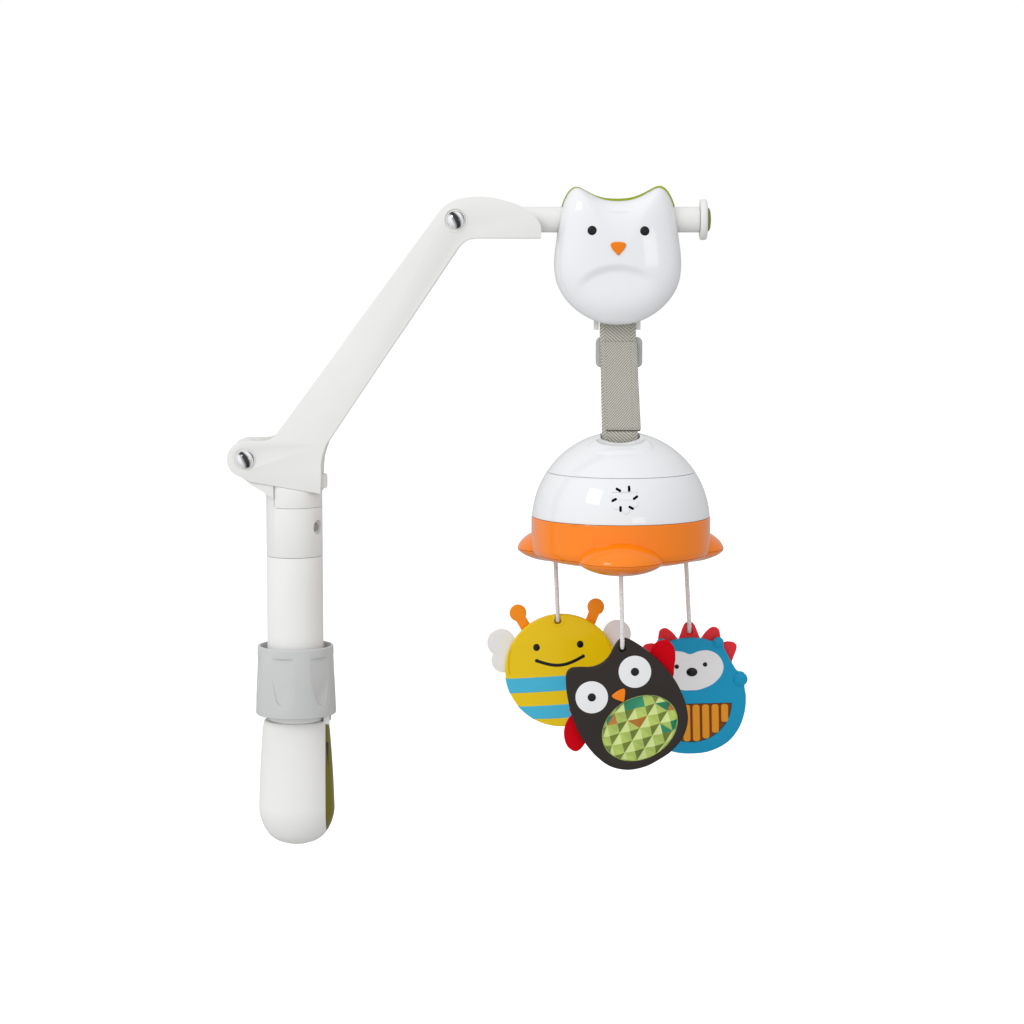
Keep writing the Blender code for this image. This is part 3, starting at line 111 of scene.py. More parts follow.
class Nodes:
    """Small wrapper that builds a material's node tree."""

    def __init__(self, name, **fixed):
        self.material = bpy.data.materials.new(name)
        self.material.use_nodes = True
        self.tree = self.material.node_tree
        self.shader = self.tree.nodes["Principled BSDF"]
        for key, value in fixed.items():
            self.shader.inputs[key.replace("_", " ")].default_value = value

    def add(self, kind, **settings):
        node = self.tree.nodes.new(kind)
        for key, value in settings.items():
            setattr(node, key, value)
        return node

    def link(self, out, into):
        self.tree.links.new(out, into)

    def place(self):
        return self.add("ShaderNodeTexCoord").outputs["Object"]

    def x_and_z(self):
        parts = self.add("ShaderNodeSeparateXYZ")
        self.link(self.place(), parts.inputs["Vector"])
        return Value(self, parts.outputs["X"]), Value(self, parts.outputs["Z"])

    def noise(self, scale, detail=3.0, stretch=(1, 1, 1)):
        mapping = self.add("ShaderNodeMapping")
        mapping.inputs["Scale"].default_value = stretch
        self.link(self.place(), mapping.inputs["Vector"])
        node = self.add("ShaderNodeTexNoise")
        node.inputs["Scale"].default_value = scale
        node.inputs["Detail"].default_value = detail
        self.link(mapping.outputs["Vector"], node.inputs["Vector"])
        return Value(self, node.outputs["Fac"])

    def ramp(self, into, value, low, high, start=0.3, end=0.7):
        """Drive one of the shader's inputs by a value, between two colours."""
        node = self.add("ShaderNodeValToRGB")
        for stop, place, colour in zip(node.color_ramp.elements, (start, end), (low, high)):
            stop.position = place
            stop.color = colour
        self.link(value.socket, node.inputs["Fac"])
        self.link(node.outputs["Color"], self.shader.inputs[into])

    def bump(self, height, distance, strength=1.0):
        """Add relief, in millimetres, and hand the finished material over."""
        node = self.add("ShaderNodeBump")
        node.inputs["Distance"].default_value = distance * MM
        node.inputs["Strength"].default_value = strength
        self.link(height.socket, node.inputs["Height"])
        self.link(node.outputs["Normal"], self.shader.inputs["Normal"])
        return self.material


def grey(level):
    return (level, level, level, 1.0)


def dimmed(colour, share):
    return tuple(min(1.0, c * share) for c in colour[:3]) + (1.0,)


def plastic(name, colour, roughness, coat=0.0, grain=0.02, varied=0.03, through=0.0, specular=0.5):
    """Moulded plastic: slight flow marks in its colour, uneven gloss and a fine moulded grain."""
    made = Nodes(name, Coat_Weight=coat, Coat_Roughness=0.06, Specular_IOR_Level=specular)
    base = linear(*colour)
    made.ramp("Base Color", made.noise(9.0, 4.0), dimmed(base, 1 - varied), dimmed(base, 1 + varied))
    made.ramp("Roughness", made.noise(40.0, 5.0), grey(roughness * 0.88), grey(roughness * 1.12))
    if through:
        made.shader.inputs["Subsurface Weight"].default_value = through
        made.shader.inputs["Subsurface Radius"].default_value = (1.0, 0.8, 0.6)
        made.shader.inputs["Subsurface Scale"].default_value = 0.004
    return made.bump(made.noise(900.0, 2.0), grain)


def rubber(name):
    made = Nodes(name, Roughness=0.72)
    made.ramp("Base Color", made.noise(60.0), (0.018, 0.018, 0.02, 1), (0.04, 0.04, 0.042, 1))
    return made.bump(made.noise(1500.0), 0.05)


def metal(name, colour, roughness, stretch=(1, 1, 1), brushed=0.01, polished=False):
    made = Nodes(name, Metallic=1.0)
    base = linear(*colour)
    if polished:
        # painted reflection: the base colour runs in dark and bright bands by the way the surface faces, standing in
        # for the dark and bright sides of a room mirrored in the chrome
        faces = made.add("ShaderNodeVectorMath", operation="DOT_PRODUCT")
        made.link(made.add("ShaderNodeNewGeometry").outputs["Normal"], faces.inputs[0])
        faces.inputs[1].default_value = (0.9, 0.4, 0.45)
        reflection_bands = (Value(made, faces.outputs["Value"]) * 5.6).wave() * 0.5 + 0.5
        made.ramp("Base Color", reflection_bands, grey(0.05), base, 0.1, 0.75)
    else:
        made.ramp("Base Color", made.noise(25.0), dimmed(base, 0.92), base)
    made.ramp("Roughness", made.noise(120.0, 4.0, stretch), grey(roughness * 0.7), grey(roughness * 1.3))
    return made.bump(made.noise(700.0, 2.0, stretch), brushed)


def webbing(name, lean, pitch):
    """Woven webbing. A middle band of twill is turned against the bands along both edges."""
    made = Nodes(name, Roughness=0.85, Sheen_Weight=0.3)
    x, z = made.x_and_z()
    middle_half = 0.0112
    offset = x - STRAP_X_TOP * MM - (z * -1 + STRAP_TOP * MM) * STRAP_LEAN
    side = offset.size().join("LESS_THAN", middle_half) * 2.0 - 1.0
    along = z + (made.noise(160.0, 2.0) - 0.5) * 0.001 + offset * side * lean
    weave = (along * (2 * pi / (pitch * MM))).wave() * 0.5 + 0.5
    rib = (offset.size() - middle_half).size().join("LESS_THAN", 0.0003)
    # the colour follows the weave's relief, darker in its low yarns as painted shade; the noise is the yarn's own
    # uneven tone
    shade = weave * 0.8 + made.noise(1100.0, 2.0) * 0.25
    made.ramp("Base Color", shade, linear(142, 139, 127), linear(207, 205, 195), 0.15, 0.85)
    return made.bump(weave * 0.8 - rib * 0.5, 0.4, 0.9)


def cord_cover(name):
    made = Nodes(name, Roughness=0.8, Sheen_Weight=0.4)
    made.ramp("Base Color", made.noise(900.0), linear(200, 200, 198), linear(243, 243, 243))
    return made.bump(made.noise(2600.0, 3.0, (1, 1, 0.4)), 0.12)


def ribbed_cloth(name, colour):
    """Fine cross-ribbed fabric."""
    made = Nodes(name, Roughness=0.85, Specular_IOR_Level=0.1)
    x, z = made.x_and_z()
    ribs = ((z * 0.86 + x * -0.5) * (2 * pi / (1.25 * MM))).wave()
    yarn = ((x * 0.86 + z * 0.5) * (2 * pi / (0.7 * MM))).wave()
    height = ribs * 0.35 + yarn * 0.15
    base = linear(*colour)
    # painted shade: the colour is darker in the low parts of the ribs and yarns
    made.ramp("Base Color", height + 0.5, dimmed(base, 0.62), base, 0.1, 0.7)
    return made.bump(height, 0.3)


def gem_plastic(name, colour, spread):
    """Clear tinted plastic over foil, one tint to each material. The lighter and darker copies of the gem's lime tint
    are painted light and painted shade on the facets.
    """
    made = Nodes(name, Roughness=0.16, Metallic=0.15, Coat_Weight=0.3, Coat_Roughness=0.05)
    base = linear(*colour)
    made.ramp("Base Color", made.noise(70.0), dimmed(base, 1 - spread), base)
    return made.bump(made.noise(260.0, 2.0), 0.06)


WHITE = plastic("satin_white", (232, 232, 230), 0.36, grain=0.012)
GLOSS = plastic("gloss_white", (233, 235, 238), 0.10, coat=0.6, grain=0.003, varied=0.012)
GREY = plastic("collar_grey", (198, 200, 200), 0.5, grain=0.03)
SLIDER = plastic("slider_grey", (176, 180, 174), 0.42)
LIME = plastic("lime", (168, 188, 30), 0.3, coat=0.1, specular=0.25)
# painted shade: a darker copy of the lime for the clamp jaw, whose faces turn away from the light
JAW_SHADED_LIME = plastic("jaw_shaded_lime", (112, 106, 0), 0.32, coat=0.08, specular=0.2)
# painted shade: a darker copy of the lime for the rod's end button, which faces away from the light
CAP_SHADED_LIME = plastic("cap_shaded_lime", (122, 132, 40), 0.35, coat=0.1, specular=0.25)
ORANGE = plastic("gloss_orange", (252, 132, 0), 0.14, coat=0.3, grain=0.003, varied=0.03, specular=0.3)
BEAK_ORANGE = plastic("beak_orange", (240, 128, 0), 0.2, coat=0.15, specular=0.15)
BLACK = plastic("gloss_black", (12, 12, 14), 0.3, coat=0.1, specular=0.25)
RUBBER = rubber("black_rubber")
# painted reflection: the chrome's colour runs in dark and bright bands
CHROME = metal("chrome", (246, 247, 250), 0.06, brushed=0.004, polished=True)
STEEL = metal("steel", (178, 179, 182), 0.28, (1, 1, 8))
NYLON = plastic("natural_nylon", (232, 229, 216), 0.45, through=0.3)
WEB_FINE = webbing("webbing_front", -1.1, 2.5)
WEB_COARSE = webbing("webbing_back", 0.9, 3.0)
CORD = cord_cover("braided_cord")
BOARD = plastic("solder_mask", (24, 92, 46), 0.35, coat=0.4)
CELL = metal("cell_jacket", (120, 122, 128), 0.3)
YELLOW = plastic("bee_yellow", (236, 202, 10), 0.3, coat=0.1, grain=0.01, specular=0.18)
SKY = plastic("bee_blue", (68, 186, 220), 0.3, coat=0.1, grain=0.01, specular=0.2)
FEELER = plastic("feeler_orange", (248, 146, 10), 0.3, coat=0.1, specular=0.18)
WING = plastic("frosted_wing", (236, 237, 238), 0.42, through=0.25, specular=0.3)
CHARCOAL = plastic("owl_charcoal", (46, 40, 36), 0.4, coat=0.06, grain=0.01, specular=0.15)
TOY_WHITE = plastic("toy_white", (230, 232, 234), 0.28, coat=0.15, grain=0.006, specular=0.3)
SHADOW = plastic("hem_shadow", (84, 80, 70), 0.9, specular=0.1)
CLOTH = ribbed_cloth("red_ribbed_cloth", (222, 0, 22))
GEM_LIME = gem_plastic("gem_lime", (182, 206, 96), 0.25)
# painted light: a lighter copy of the gem's lime, for facets that face up towards the light
GEM_LIT_FACET = gem_plastic("gem_lit_facet", (206, 222, 140), 0.15)
GEM_GREEN = gem_plastic("gem_green", (0, 140, 98), 0.3)
GEM_AMBER = gem_plastic("gem_amber", (190, 120, 20), 0.3)
# painted shade: a darker copy of the gem's lime, for facets that face down, away from the light
GEM_SHADED_FACET = gem_plastic("gem_shaded_facet", (124, 142, 44), 0.3)
BLUE = plastic("hedgehog_blue", (0, 148, 192), 0.32, coat=0.1, grain=0.01, specular=0.2)
RED = plastic("spike_red", (234, 48, 56), 0.38, coat=0.05, grain=0.01, specular=0.15)
RIB_PALE = plastic("rib_pale", (222, 146, 24), 0.28, coat=0.15, specular=0.2)
# painted shade: a darker copy of the belly's amber, for the hollows between the ribs
RIB_GAP_SHADE = plastic("rib_gap_shade", (138, 66, 0), 0.3, coat=0.1, specular=0.15)


# ---- mesh helpers
POST_AXIS, DOME_AXIS, ROD_AXIS = (POST_X, 0, 0), (DOME_X, DOME_Y, 0), (0, 0, ROD_Z)
PLANES = {
    "XZ": Matrix(((1, 0, 0, 0), (0, 0, -1, 0), (0, 1, 0, 0), (0, 0, 0, 1))),
    "YZ": Matrix(((0, 0, 1, 0), (1, 0, 0, 0), (0, 1, 0, 0), (0, 0, 0, 1))),
    "XY": Matrix.Identity(4),
}
AXES = {"Z": Matrix.Identity(4), "Y": Matrix.Rotation(-pi / 2, 4, "X"), "X": Matrix.Rotation(pi / 2, 4, "Y")}


def add(name, mesh, finish):
    """Put a mesh into the scene, in one material."""
    made = bpy.data.objects.new(name, mesh)
    mesh.materials.clear()
    mesh.materials.append(finish)
    bpy.context.scene.collection.objects.link(made)
    return made


def discard(obj):
    bpy.data.objects.remove(obj, do_unlink=True)


def evaluated(obj):
    bpy.context.view_layer.update()
    return bpy.data.meshes.new_from_object(obj.evaluated_get(bpy.context.evaluated_depsgraph_get()))


def about(middle, half):
    return middle - half, middle + half


def applied(obj):
    """Bake an object's modifiers into its mesh."""
    mesh, old = evaluated(obj), obj.data
    obj.modifiers.clear()
    obj.data = mesh
    bpy.data.meshes.remove(old)
    return obj


def cut(target, tool, operation="DIFFERENCE", keep=False):
    step = target.modifiers.new("step", "BOOLEAN")
    step.operation = operation
    step.solver = "EXACT"
    step.object = tool
    applied(target)
    if not keep:
        discard(tool)
    return target


def join(target, tool):
    return cut(target, tool, "UNION")


def drill(target, radius, low, high, place, axis="Y"):
    """Cut a round hole."""
    return cut(target, bar("cutter", radius, low, high, place, axis=axis))


def soften(obj, width, segments=3, angle=32):
    """Round the edges that turn by more than an angle."""
    step = obj.modifiers.new("edges", "BEVEL")
    step.width = width * MM
    step.segments = segments
    step.limit_method = "ANGLE"
    step.angle_limit = radians(angle)
    return applied(obj)


def mirrored_if(far, obj):
    """Turn a shape over to the other side of the middle plane."""
    if far:
        obj.data.transform(Matrix.Diagonal((1, -1, 1, 1)))
        obj.data.flip_normals()
    return obj


def walled(obj, thick):
    """Give an open skin a wall on its inner side."""
    step = obj.modifiers.new("wall", "SOLIDIFY")
    step.thickness = thick * MM
    step.offset = -1
    return applied(obj)


def show(obj, body, slot, *nodes, angle=38):
    """Finish a piece: smooth shading, the body it rides on and the CAD nodes it stands for, which it hides. The slot
    argument is not used.
    """
    obj.data.shade_smooth()
    obj.data.set_sharp_from_angle(angle=radians(angle))
    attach(obj, body)
    if nodes:
        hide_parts(*nodes)
    return obj


def solid(name, shape, finish):
    """Close a bmesh into an object, with its normals outwards."""
    bmesh.ops.recalc_face_normals(shape, faces=shape.faces)
    mesh = bpy.data.meshes.new(name)
    shape.to_mesh(mesh)
    shape.free()
    return add(name, mesh, finish)


def bridge(shape, rows):
    """Skin the space between rings of vertices."""
    count = len(rows[0])
    for near, far in zip(rows, rows[1:]):
        for i in range(count):
            j = (i + 1) % count
            shape.faces.new((near[i], near[j], far[j], far[i]))


def tube(name, rows, finish):
    """A closed skin over rings of vertices, with flat ends."""
    shape = bmesh.new()
    rings = [[shape.verts.new(point * MM) for point in row] for row in rows]
    bridge(shape, rings)
    shape.faces.new(rings[0])
    shape.faces.new(list(reversed(rings[-1])))
    return solid(name, shape, finish)


def turned(name, profile, centre, finish=WHITE, axis="Z", steps=96, closed=False):
    """A solid of revolution from (radius, height) pairs in mm, listed down its outer side."""
    shape = bmesh.new()
    angles = [2 * pi * i / steps for i in range(steps)]
    rows = []
    for radius, height in profile:
        if radius < 1e-6:
            rows.append([shape.verts.new((0, 0, height * MM))] * steps)
        else:
            rows.append([shape.verts.new((radius * MM * cos(a), radius * MM * sin(a), height * MM)) for a in angles])
    for top, low in zip(rows, rows[1:] + rows[:1] if closed else rows[1:]):
        for i in range(steps):
            j = (i + 1) % steps
            corners = list(dict.fromkeys((top[i], low[i], low[j], top[j])))
            if len(corners) > 2:
                shape.faces.new(corners)
    made = solid(name, shape, finish)
    made.data.transform(Matrix.Translation(Vector(centre) * MM) @ AXES[axis])
    return made


def bar(name, radius, low, high, centre, finish=WHITE, axis="Z", steps=64):
    """A round bar. The centre's place along the axis is not used."""
    start = [0 if letter == axis else place for letter, place in zip("XYZ", centre)]
    return turned(name, [(0, high), (radius, high), (radius, low), (0, low)], start, finish, axis, steps)


def box(name, x, y, z, finish=WHITE):
    shape = bmesh.new()
    bmesh.ops.create_cube(shape, size=1.0)
    bmesh.ops.scale(shape, vec=Vector([b - a for a, b in (x, y, z)]) * MM, verts=shape.verts)
    bmesh.ops.translate(shape, vec=Vector([(a + b) / 2 for a, b in (x, y, z)]) * MM, verts=shape.verts)
    return solid(name, shape, finish)


def curve_mesh(name, loops, closed, **settings):
    """The mesh that a curve through (x, y, z) places makes."""
    curve = bpy.data.curves.new(name, "CURVE")
    for key, value in settings.items():
        setattr(curve, key, value)
    for loop in loops:
        spline = curve.splines.new("POLY")
        spline.points.add(len(loop) - 1)
        for point, (x, y, z) in zip(spline.points, loop):
            point.co = (x * MM, y * MM, z * MM, 1)
        spline.use_cyclic_u = closed
    guide = bpy.data.objects.new(name, curve)
    bpy.context.scene.collection.objects.link(guide)
    mesh = evaluated(guide)
    discard(guide)
    return mesh


def plate(name, loops, low, high, finish=WHITE, plane="XZ", rounding=0.0, segments=3):
    """Flat outlines thickened along the plane's normal, with rounded rims."""
    mesh = curve_mesh(name, [[(x, y, 0) for x, y in loop] for loop in loops], True, dimensions="2D", fill_mode="BOTH",
                      extrude=((high - low) / 2 - rounding) * MM, bevel_depth=rounding * MM, bevel_resolution=segments,
                      offset=-rounding * MM)
    flip = -1 if plane == "XZ" else 1
    mesh.transform(Matrix.Translation((0, 0, flip * (low + high) / 2 * MM)))
    mesh.transform(PLANES[plane])
    shape = bmesh.new()
    shape.from_mesh(mesh)
    bmesh.ops.remove_doubles(shape, verts=shape.verts, dist=1e-6)
    return solid(name, shape, finish)


def punch(target, loop, low, high):
    """Cut a hole with a flat outline."""
    return cut(target, plate("tool", [loop], low, high))


def stroke(name, points, width, height, finish):
    """A raised line of round section on a toy's face, along (x, z) points."""
    mesh = curve_mesh(name, [[(x, FRONT, z) for x, z in points]], False, dimensions="3D", bevel_depth=width / 2 * MM,
                      bevel_resolution=5, use_fill_caps=True)
    for vert in mesh.vertices:
        vert.co.y = FRONT * MM + (vert.co.y - FRONT * MM) * height / (width / 2)
    return add(name, mesh, finish)


def arc(centre, radius, start, end, count):
    steps = [radians(start + (end - start) * i / (count - 1)) for i in range(count)]
    return [(centre[0] + radius * cos(a), centre[1] + radius * sin(a)) for a in steps]


def circle(centre, radius, count=64, squash=1.0):
    angles = [2 * pi * i / count for i in range(count)]
    return [(centre[0] + radius * cos(a), centre[1] + squash * radius * sin(a)) for a in angles]


def rectangle(low_x, high_x, low_y, high_y, radius, count=8):
    corners = [(high_x - radius, high_y - radius, 0), (low_x + radius, high_y - radius, 90),
               (low_x + radius, low_y + radius, 180), (high_x - radius, low_y + radius, 270)]
    loop = []
    for x, y, turn in corners:
        loop += arc((x, y), radius, turn, turn + 90, count)
    return loop


def flowing(points, steps=8, closed=True):
    """A smooth curve through the points."""
    loop = []
    count = len(points)
    for i in range(count if closed else count - 1):
        picks = [(i + k - 1) % count if closed else min(max(i + k - 1, 0), count - 1) for k in range(4)]
        a, b, c, d = (Vector(points[p]) for p in picks)
        for step in range(steps):
            t = step / steps
            square, cube = 2 * a - 5 * b + 4 * c - d, 3 * b - a - 3 * c + d
            loop.append(tuple(0.5 * ((2 * b) + (c - a) * t + square * t * t + cube * t ** 3)))
    return loop if closed else loop + [tuple(points[-1])]


def mirrored(half):
    return half + [(-x, y) for x, y in reversed(half[1:-1])]


def rounded(points, radius, count=5):
    """Replace each corner of a closed outline by a short curve."""
    loop = []
    total = len(points)
    for i, corner in enumerate(points):
        here = Vector(corner)
        before, after = Vector(points[i - 1]) - here, Vector(points[(i + 1) % total]) - here
        turn = before.angle(after, 0.0)
        reach = min(radius, before.length * 0.45, after.length * 0.45)
        if turn > radians(165):
            loop.append(corner)
            continue
        start, end = here + before.normalized() * reach, here + after.normalized() * reach
        for k in range(count):
            t = k / (count - 1)
            loop.append(tuple(start * (1 - t) ** 2 + here * 2 * t * (1 - t) + end * t ** 2))
    return loop


def smoothstep(low, high, value):
    t = min(1.0, max(0.0, (value - low) / (high - low)))
    return t * t * (3 - 2 * t)


def loft(name, sections, finish, deform=None):
    """A skin over rings of places, closed by a point at its last ring and open at its first."""
    shape = bmesh.new()
    rows = [[shape.verts.new(Vector(p) * MM) for p in row] for row in sections]
    bridge(shape, rows)
    count = len(rows[0])
    tip = shape.verts.new(sum((v.co for v in rows[-1]), Vector()) / count)
    for i in range(count):
        shape.faces.new((rows[-1][i], rows[-1][(i + 1) % count], tip))
    if deform:
        for vert in shape.verts:
            vert.co = Vector(deform(vert.co / MM)) * MM
    return solid(name, shape, finish)


def across(place):
    """The centre of a front-to-back axis through an (x, z) place."""
    return place[0], 0, place[1]


def surface_at(obj, x, z):
    """Depth of a mesh's front face at a place, in mm."""
    hit, where, _, _ = obj.ray_cast(Vector((x, -300, z)) * MM, Vector((0, 1, 0)))
    return where.y / MM if hit else 0.0


def seam_z(x):
    """Height of the slanted seam between post and arm."""
    return SEAM_AT[1] + SEAM_SLOPE * (SEAM_AT[0] - x)


def dome_radius(z):
    return DOME_R * sqrt(max(0.0, 1 - ((z - DOME_Z) / DOME_HEIGHT) ** 2))


# ---- clamp
def jaw_form(name, finish):
    side = [(28.0, 45.5), (28.9, 44.6), (29.6, 42), (30.5, 36), (31.6, 22), (33.2, -4), (34.2, -30), (34.2, -38),
            (32.9, -45), (30.0, -52.6), (25.0, -60.2), (18.0, -65.4), (9.0, -68.4)]
    form = turned(name, [(0, 45.5)] + flowing(side, 6, closed=False) + [(0, -69)], POST_AXIS, finish, steps=144)
    form.data.transform(Matrix.Diagonal((1, 0.86, 1, 1)))
    return form


def build_clamp():
    body = jaw_form("clamp_body_shell", WHITE)
    cut(body, box("cutter", (-GAP / 2, 60), (-60, 60), (-90, 90)))
    join(body, bar("spigot", 22.4, 40, 100, POST_AXIS))
    for side in (-1, 1):
        join(body, box("ear", (-1.8, 3.6), sorted((side * 8.6, side * 11.6)), (43, 60.3)))
    drill(body, JAW_HOLE, -20, 20, (1.5, 0, 56.0))
    drill(body, 3.8, -9.3, 5, (0, 0, 33.5), "X")
    soften(body, 0.5, 3)
    show(body, "post", "white_plastic", "clamp_body")

    # the jaw's darker lime is painted shade
    jaw = jaw_form("clamp_jaw_shell", JAW_SHADED_LIME)
    cut(jaw, box("cutter", (-80, GAP / 2), (-60, 60), (-90, 90)))
    tail = [(0.2, 36), (0.2, 46.2), (-0.9, 48.5)] + arc((1.5, 56.0), 2.4, 180, 130, 6)
    tail += [(1.9, 60), (1.9, 65), (3.4, 65), (3.4, 46), (1.0, 43)]
    join(jaw, plate("tail", [tail], -5.6, 5.6, LIME))
    drill(jaw, JAW_HOLE, -20, 20, (1.5, 0, 56.0))
    cut(jaw, box("cutter", (-1, 2.2), (-12.3, 12.3), (-26.3, 26.3)))
    drill(jaw, 3.8, -1, 2.2, (0, 0, 33.5), "X")
    soften(jaw, 0.35, 3)
    show(jaw, "clamp_jaw", "lime_plastic", "clamp_jaw")

    profile = [(32.6, 114.0), (33.7, 113.8), (34.2, 113.2), (36.3, 53.0), (36.1, 52.0), (35.4, 51.5), (34.0, 51.5),
               (33.4, 51.9), (33.4, 64.5), (31.8, 66), (31.8, 113.2), (32.1, 113.8)]
    collar = turned("grip_collar", profile, POST_AXIS, GREY, steps=180, closed=True)
    grip = [(-13.4, 104.6), (-11.4, 92), (-6.6, 68.5)] + arc((0, 67.5), 5.8, 190, 350, 14)
    grip += [(6.6, 68.5), (11.4, 92), (13.4, 104.6)]
    for k in range(6):
        cutter = plate("cutter", [rounded(grip, 2.0)], -60, -36.5, GREY)
        for move in (Matrix.Rotation(radians(-2.0), 4, "X"), Matrix.Rotation(radians(-16 + 60 * k), 4, "Z"),
                     Matrix.Translation((POST_X * MM, 0, 0))):
            cutter.data.transform(move)
        cut(collar, cutter)
    soften(collar, 0.45, 3, 24)
    show(collar, "collar", "grey_collar_plastic", "collar")


# ---- post
def above_seam(offset):
    """A block that cuts away what is above the seam."""
    ends = [(x, seam_z(x) + offset) for x in (-120.0, 40.0)]
    return plate("cutter", [ends + [(40.0, 480), (-120.0, 480)]], -60, 60)


def build_post():
    edge = [(POST_R - 0.6, 195.5), (POST_R - 0.2, 195.35), (POST_R, 194.9)]
    edge += [(POST_R, 46.4), (POST_R - 0.5, 45.8), (22.8, 45.8), (22.8, 195.5)]
    tube = turned("post_tube", edge, POST_AXIS, steps=128, closed=True)
    show(tube, "post", "white_plastic", "lower_tube")

    profile = [(19, 266), (POST_R, 266), (POST_R, 196.4), (POST_R - 0.2, 195.95), (POST_R - 0.6, 195.8), (22.4, 195.8),
               (22.4, 172), (19, 172)]
    head = turned("post_top", profile, POST_AXIS, steps=128, closed=True)
    gusset = [(-66.5, 262.5), (-52.4, 254.2), (-44.4, 248.5), (-44.4, 268), (-66.5, 268)]
    join(head, plate("gusset", [gusset], -21.5, 21.5))
    cut(head, above_seam(-GAP / 2))
    notch = rounded([(-44.1, 290), (-44.1, 240.1), (10, 240.1), (10, 290)], 3.0)
    punch(head, notch, -40, 40)
    tongue = arc(LOWER_PIVOT, 15.5, -20, 235, 48)
    tongue += [(-66, 262.8), (-55.5, 257), (-48.5, 250), (-44.1, 246), (-44.1, 262)]
    join(head, plate("tongue", [tongue], -19.2, 19.2))
    drill(head, PIVOT_HOLE, -30, 30, across(LOWER_PIVOT))
    around = Matrix.Translation((POST_X * MM, 0, 0)) @ Matrix.Rotation(radians(-28), 4, "Z")
    for radius, low in ((6.6, 20.6), (SCREW_HOLE, 0.0)):
        well = bar("cutter", radius, low, 40, (0, 0, 222.3), axis="X")
        well.data.transform(around)
        cut(head, well)
    soften(head, 0.5, 3)
    show(head, "post", "white_plastic", "post_head")

    block = [(11, 275), (POST_R, 275), (POST_R, 240.4), (11, 240.4)]
    catch = turned("catch_block", block, POST_AXIS, steps=128, closed=True)
    cut(catch, above_seam(-GAP / 2))
    corner = rounded([(-43.8, 200), (-43.8, 290), (-90, 290), (-90, 200)], 1.0)
    punch(catch, corner, -40, 40)
    join(catch, box("tooth", (-16, -13), (-4, 4), (246, 262)))
    join(catch, box("nib", (-19, -15.5), (-4, 4), (259, 262)))
    soften(catch, 0.5, 3)
    show(catch, "post", "white_plastic", "latch_catch")


def pivot(name, place, body, node):
    """A mirror-bright chrome dome-headed pin, whose reflection is painted as dark and bright bands, in a turned recess
    ring.
    """
    face = ARM_HALF + GAP
    head = [(0, 4.6), (2.0, 4.5), (3.8, 4.1), (5.4, 3.4), (6.6, 2.4), (7.4, 1.3), (7.8, 0.3), (7.8, 0)]
    profile = [(r, face + h) for r, h in head] + [(4.0, face), (4.0, -face)]
    profile += [(r, -face - h) for r, h in reversed(head)]
    show(turned(name, profile, across(place), CHROME, "Y"), body, "pivot_chrome", node)


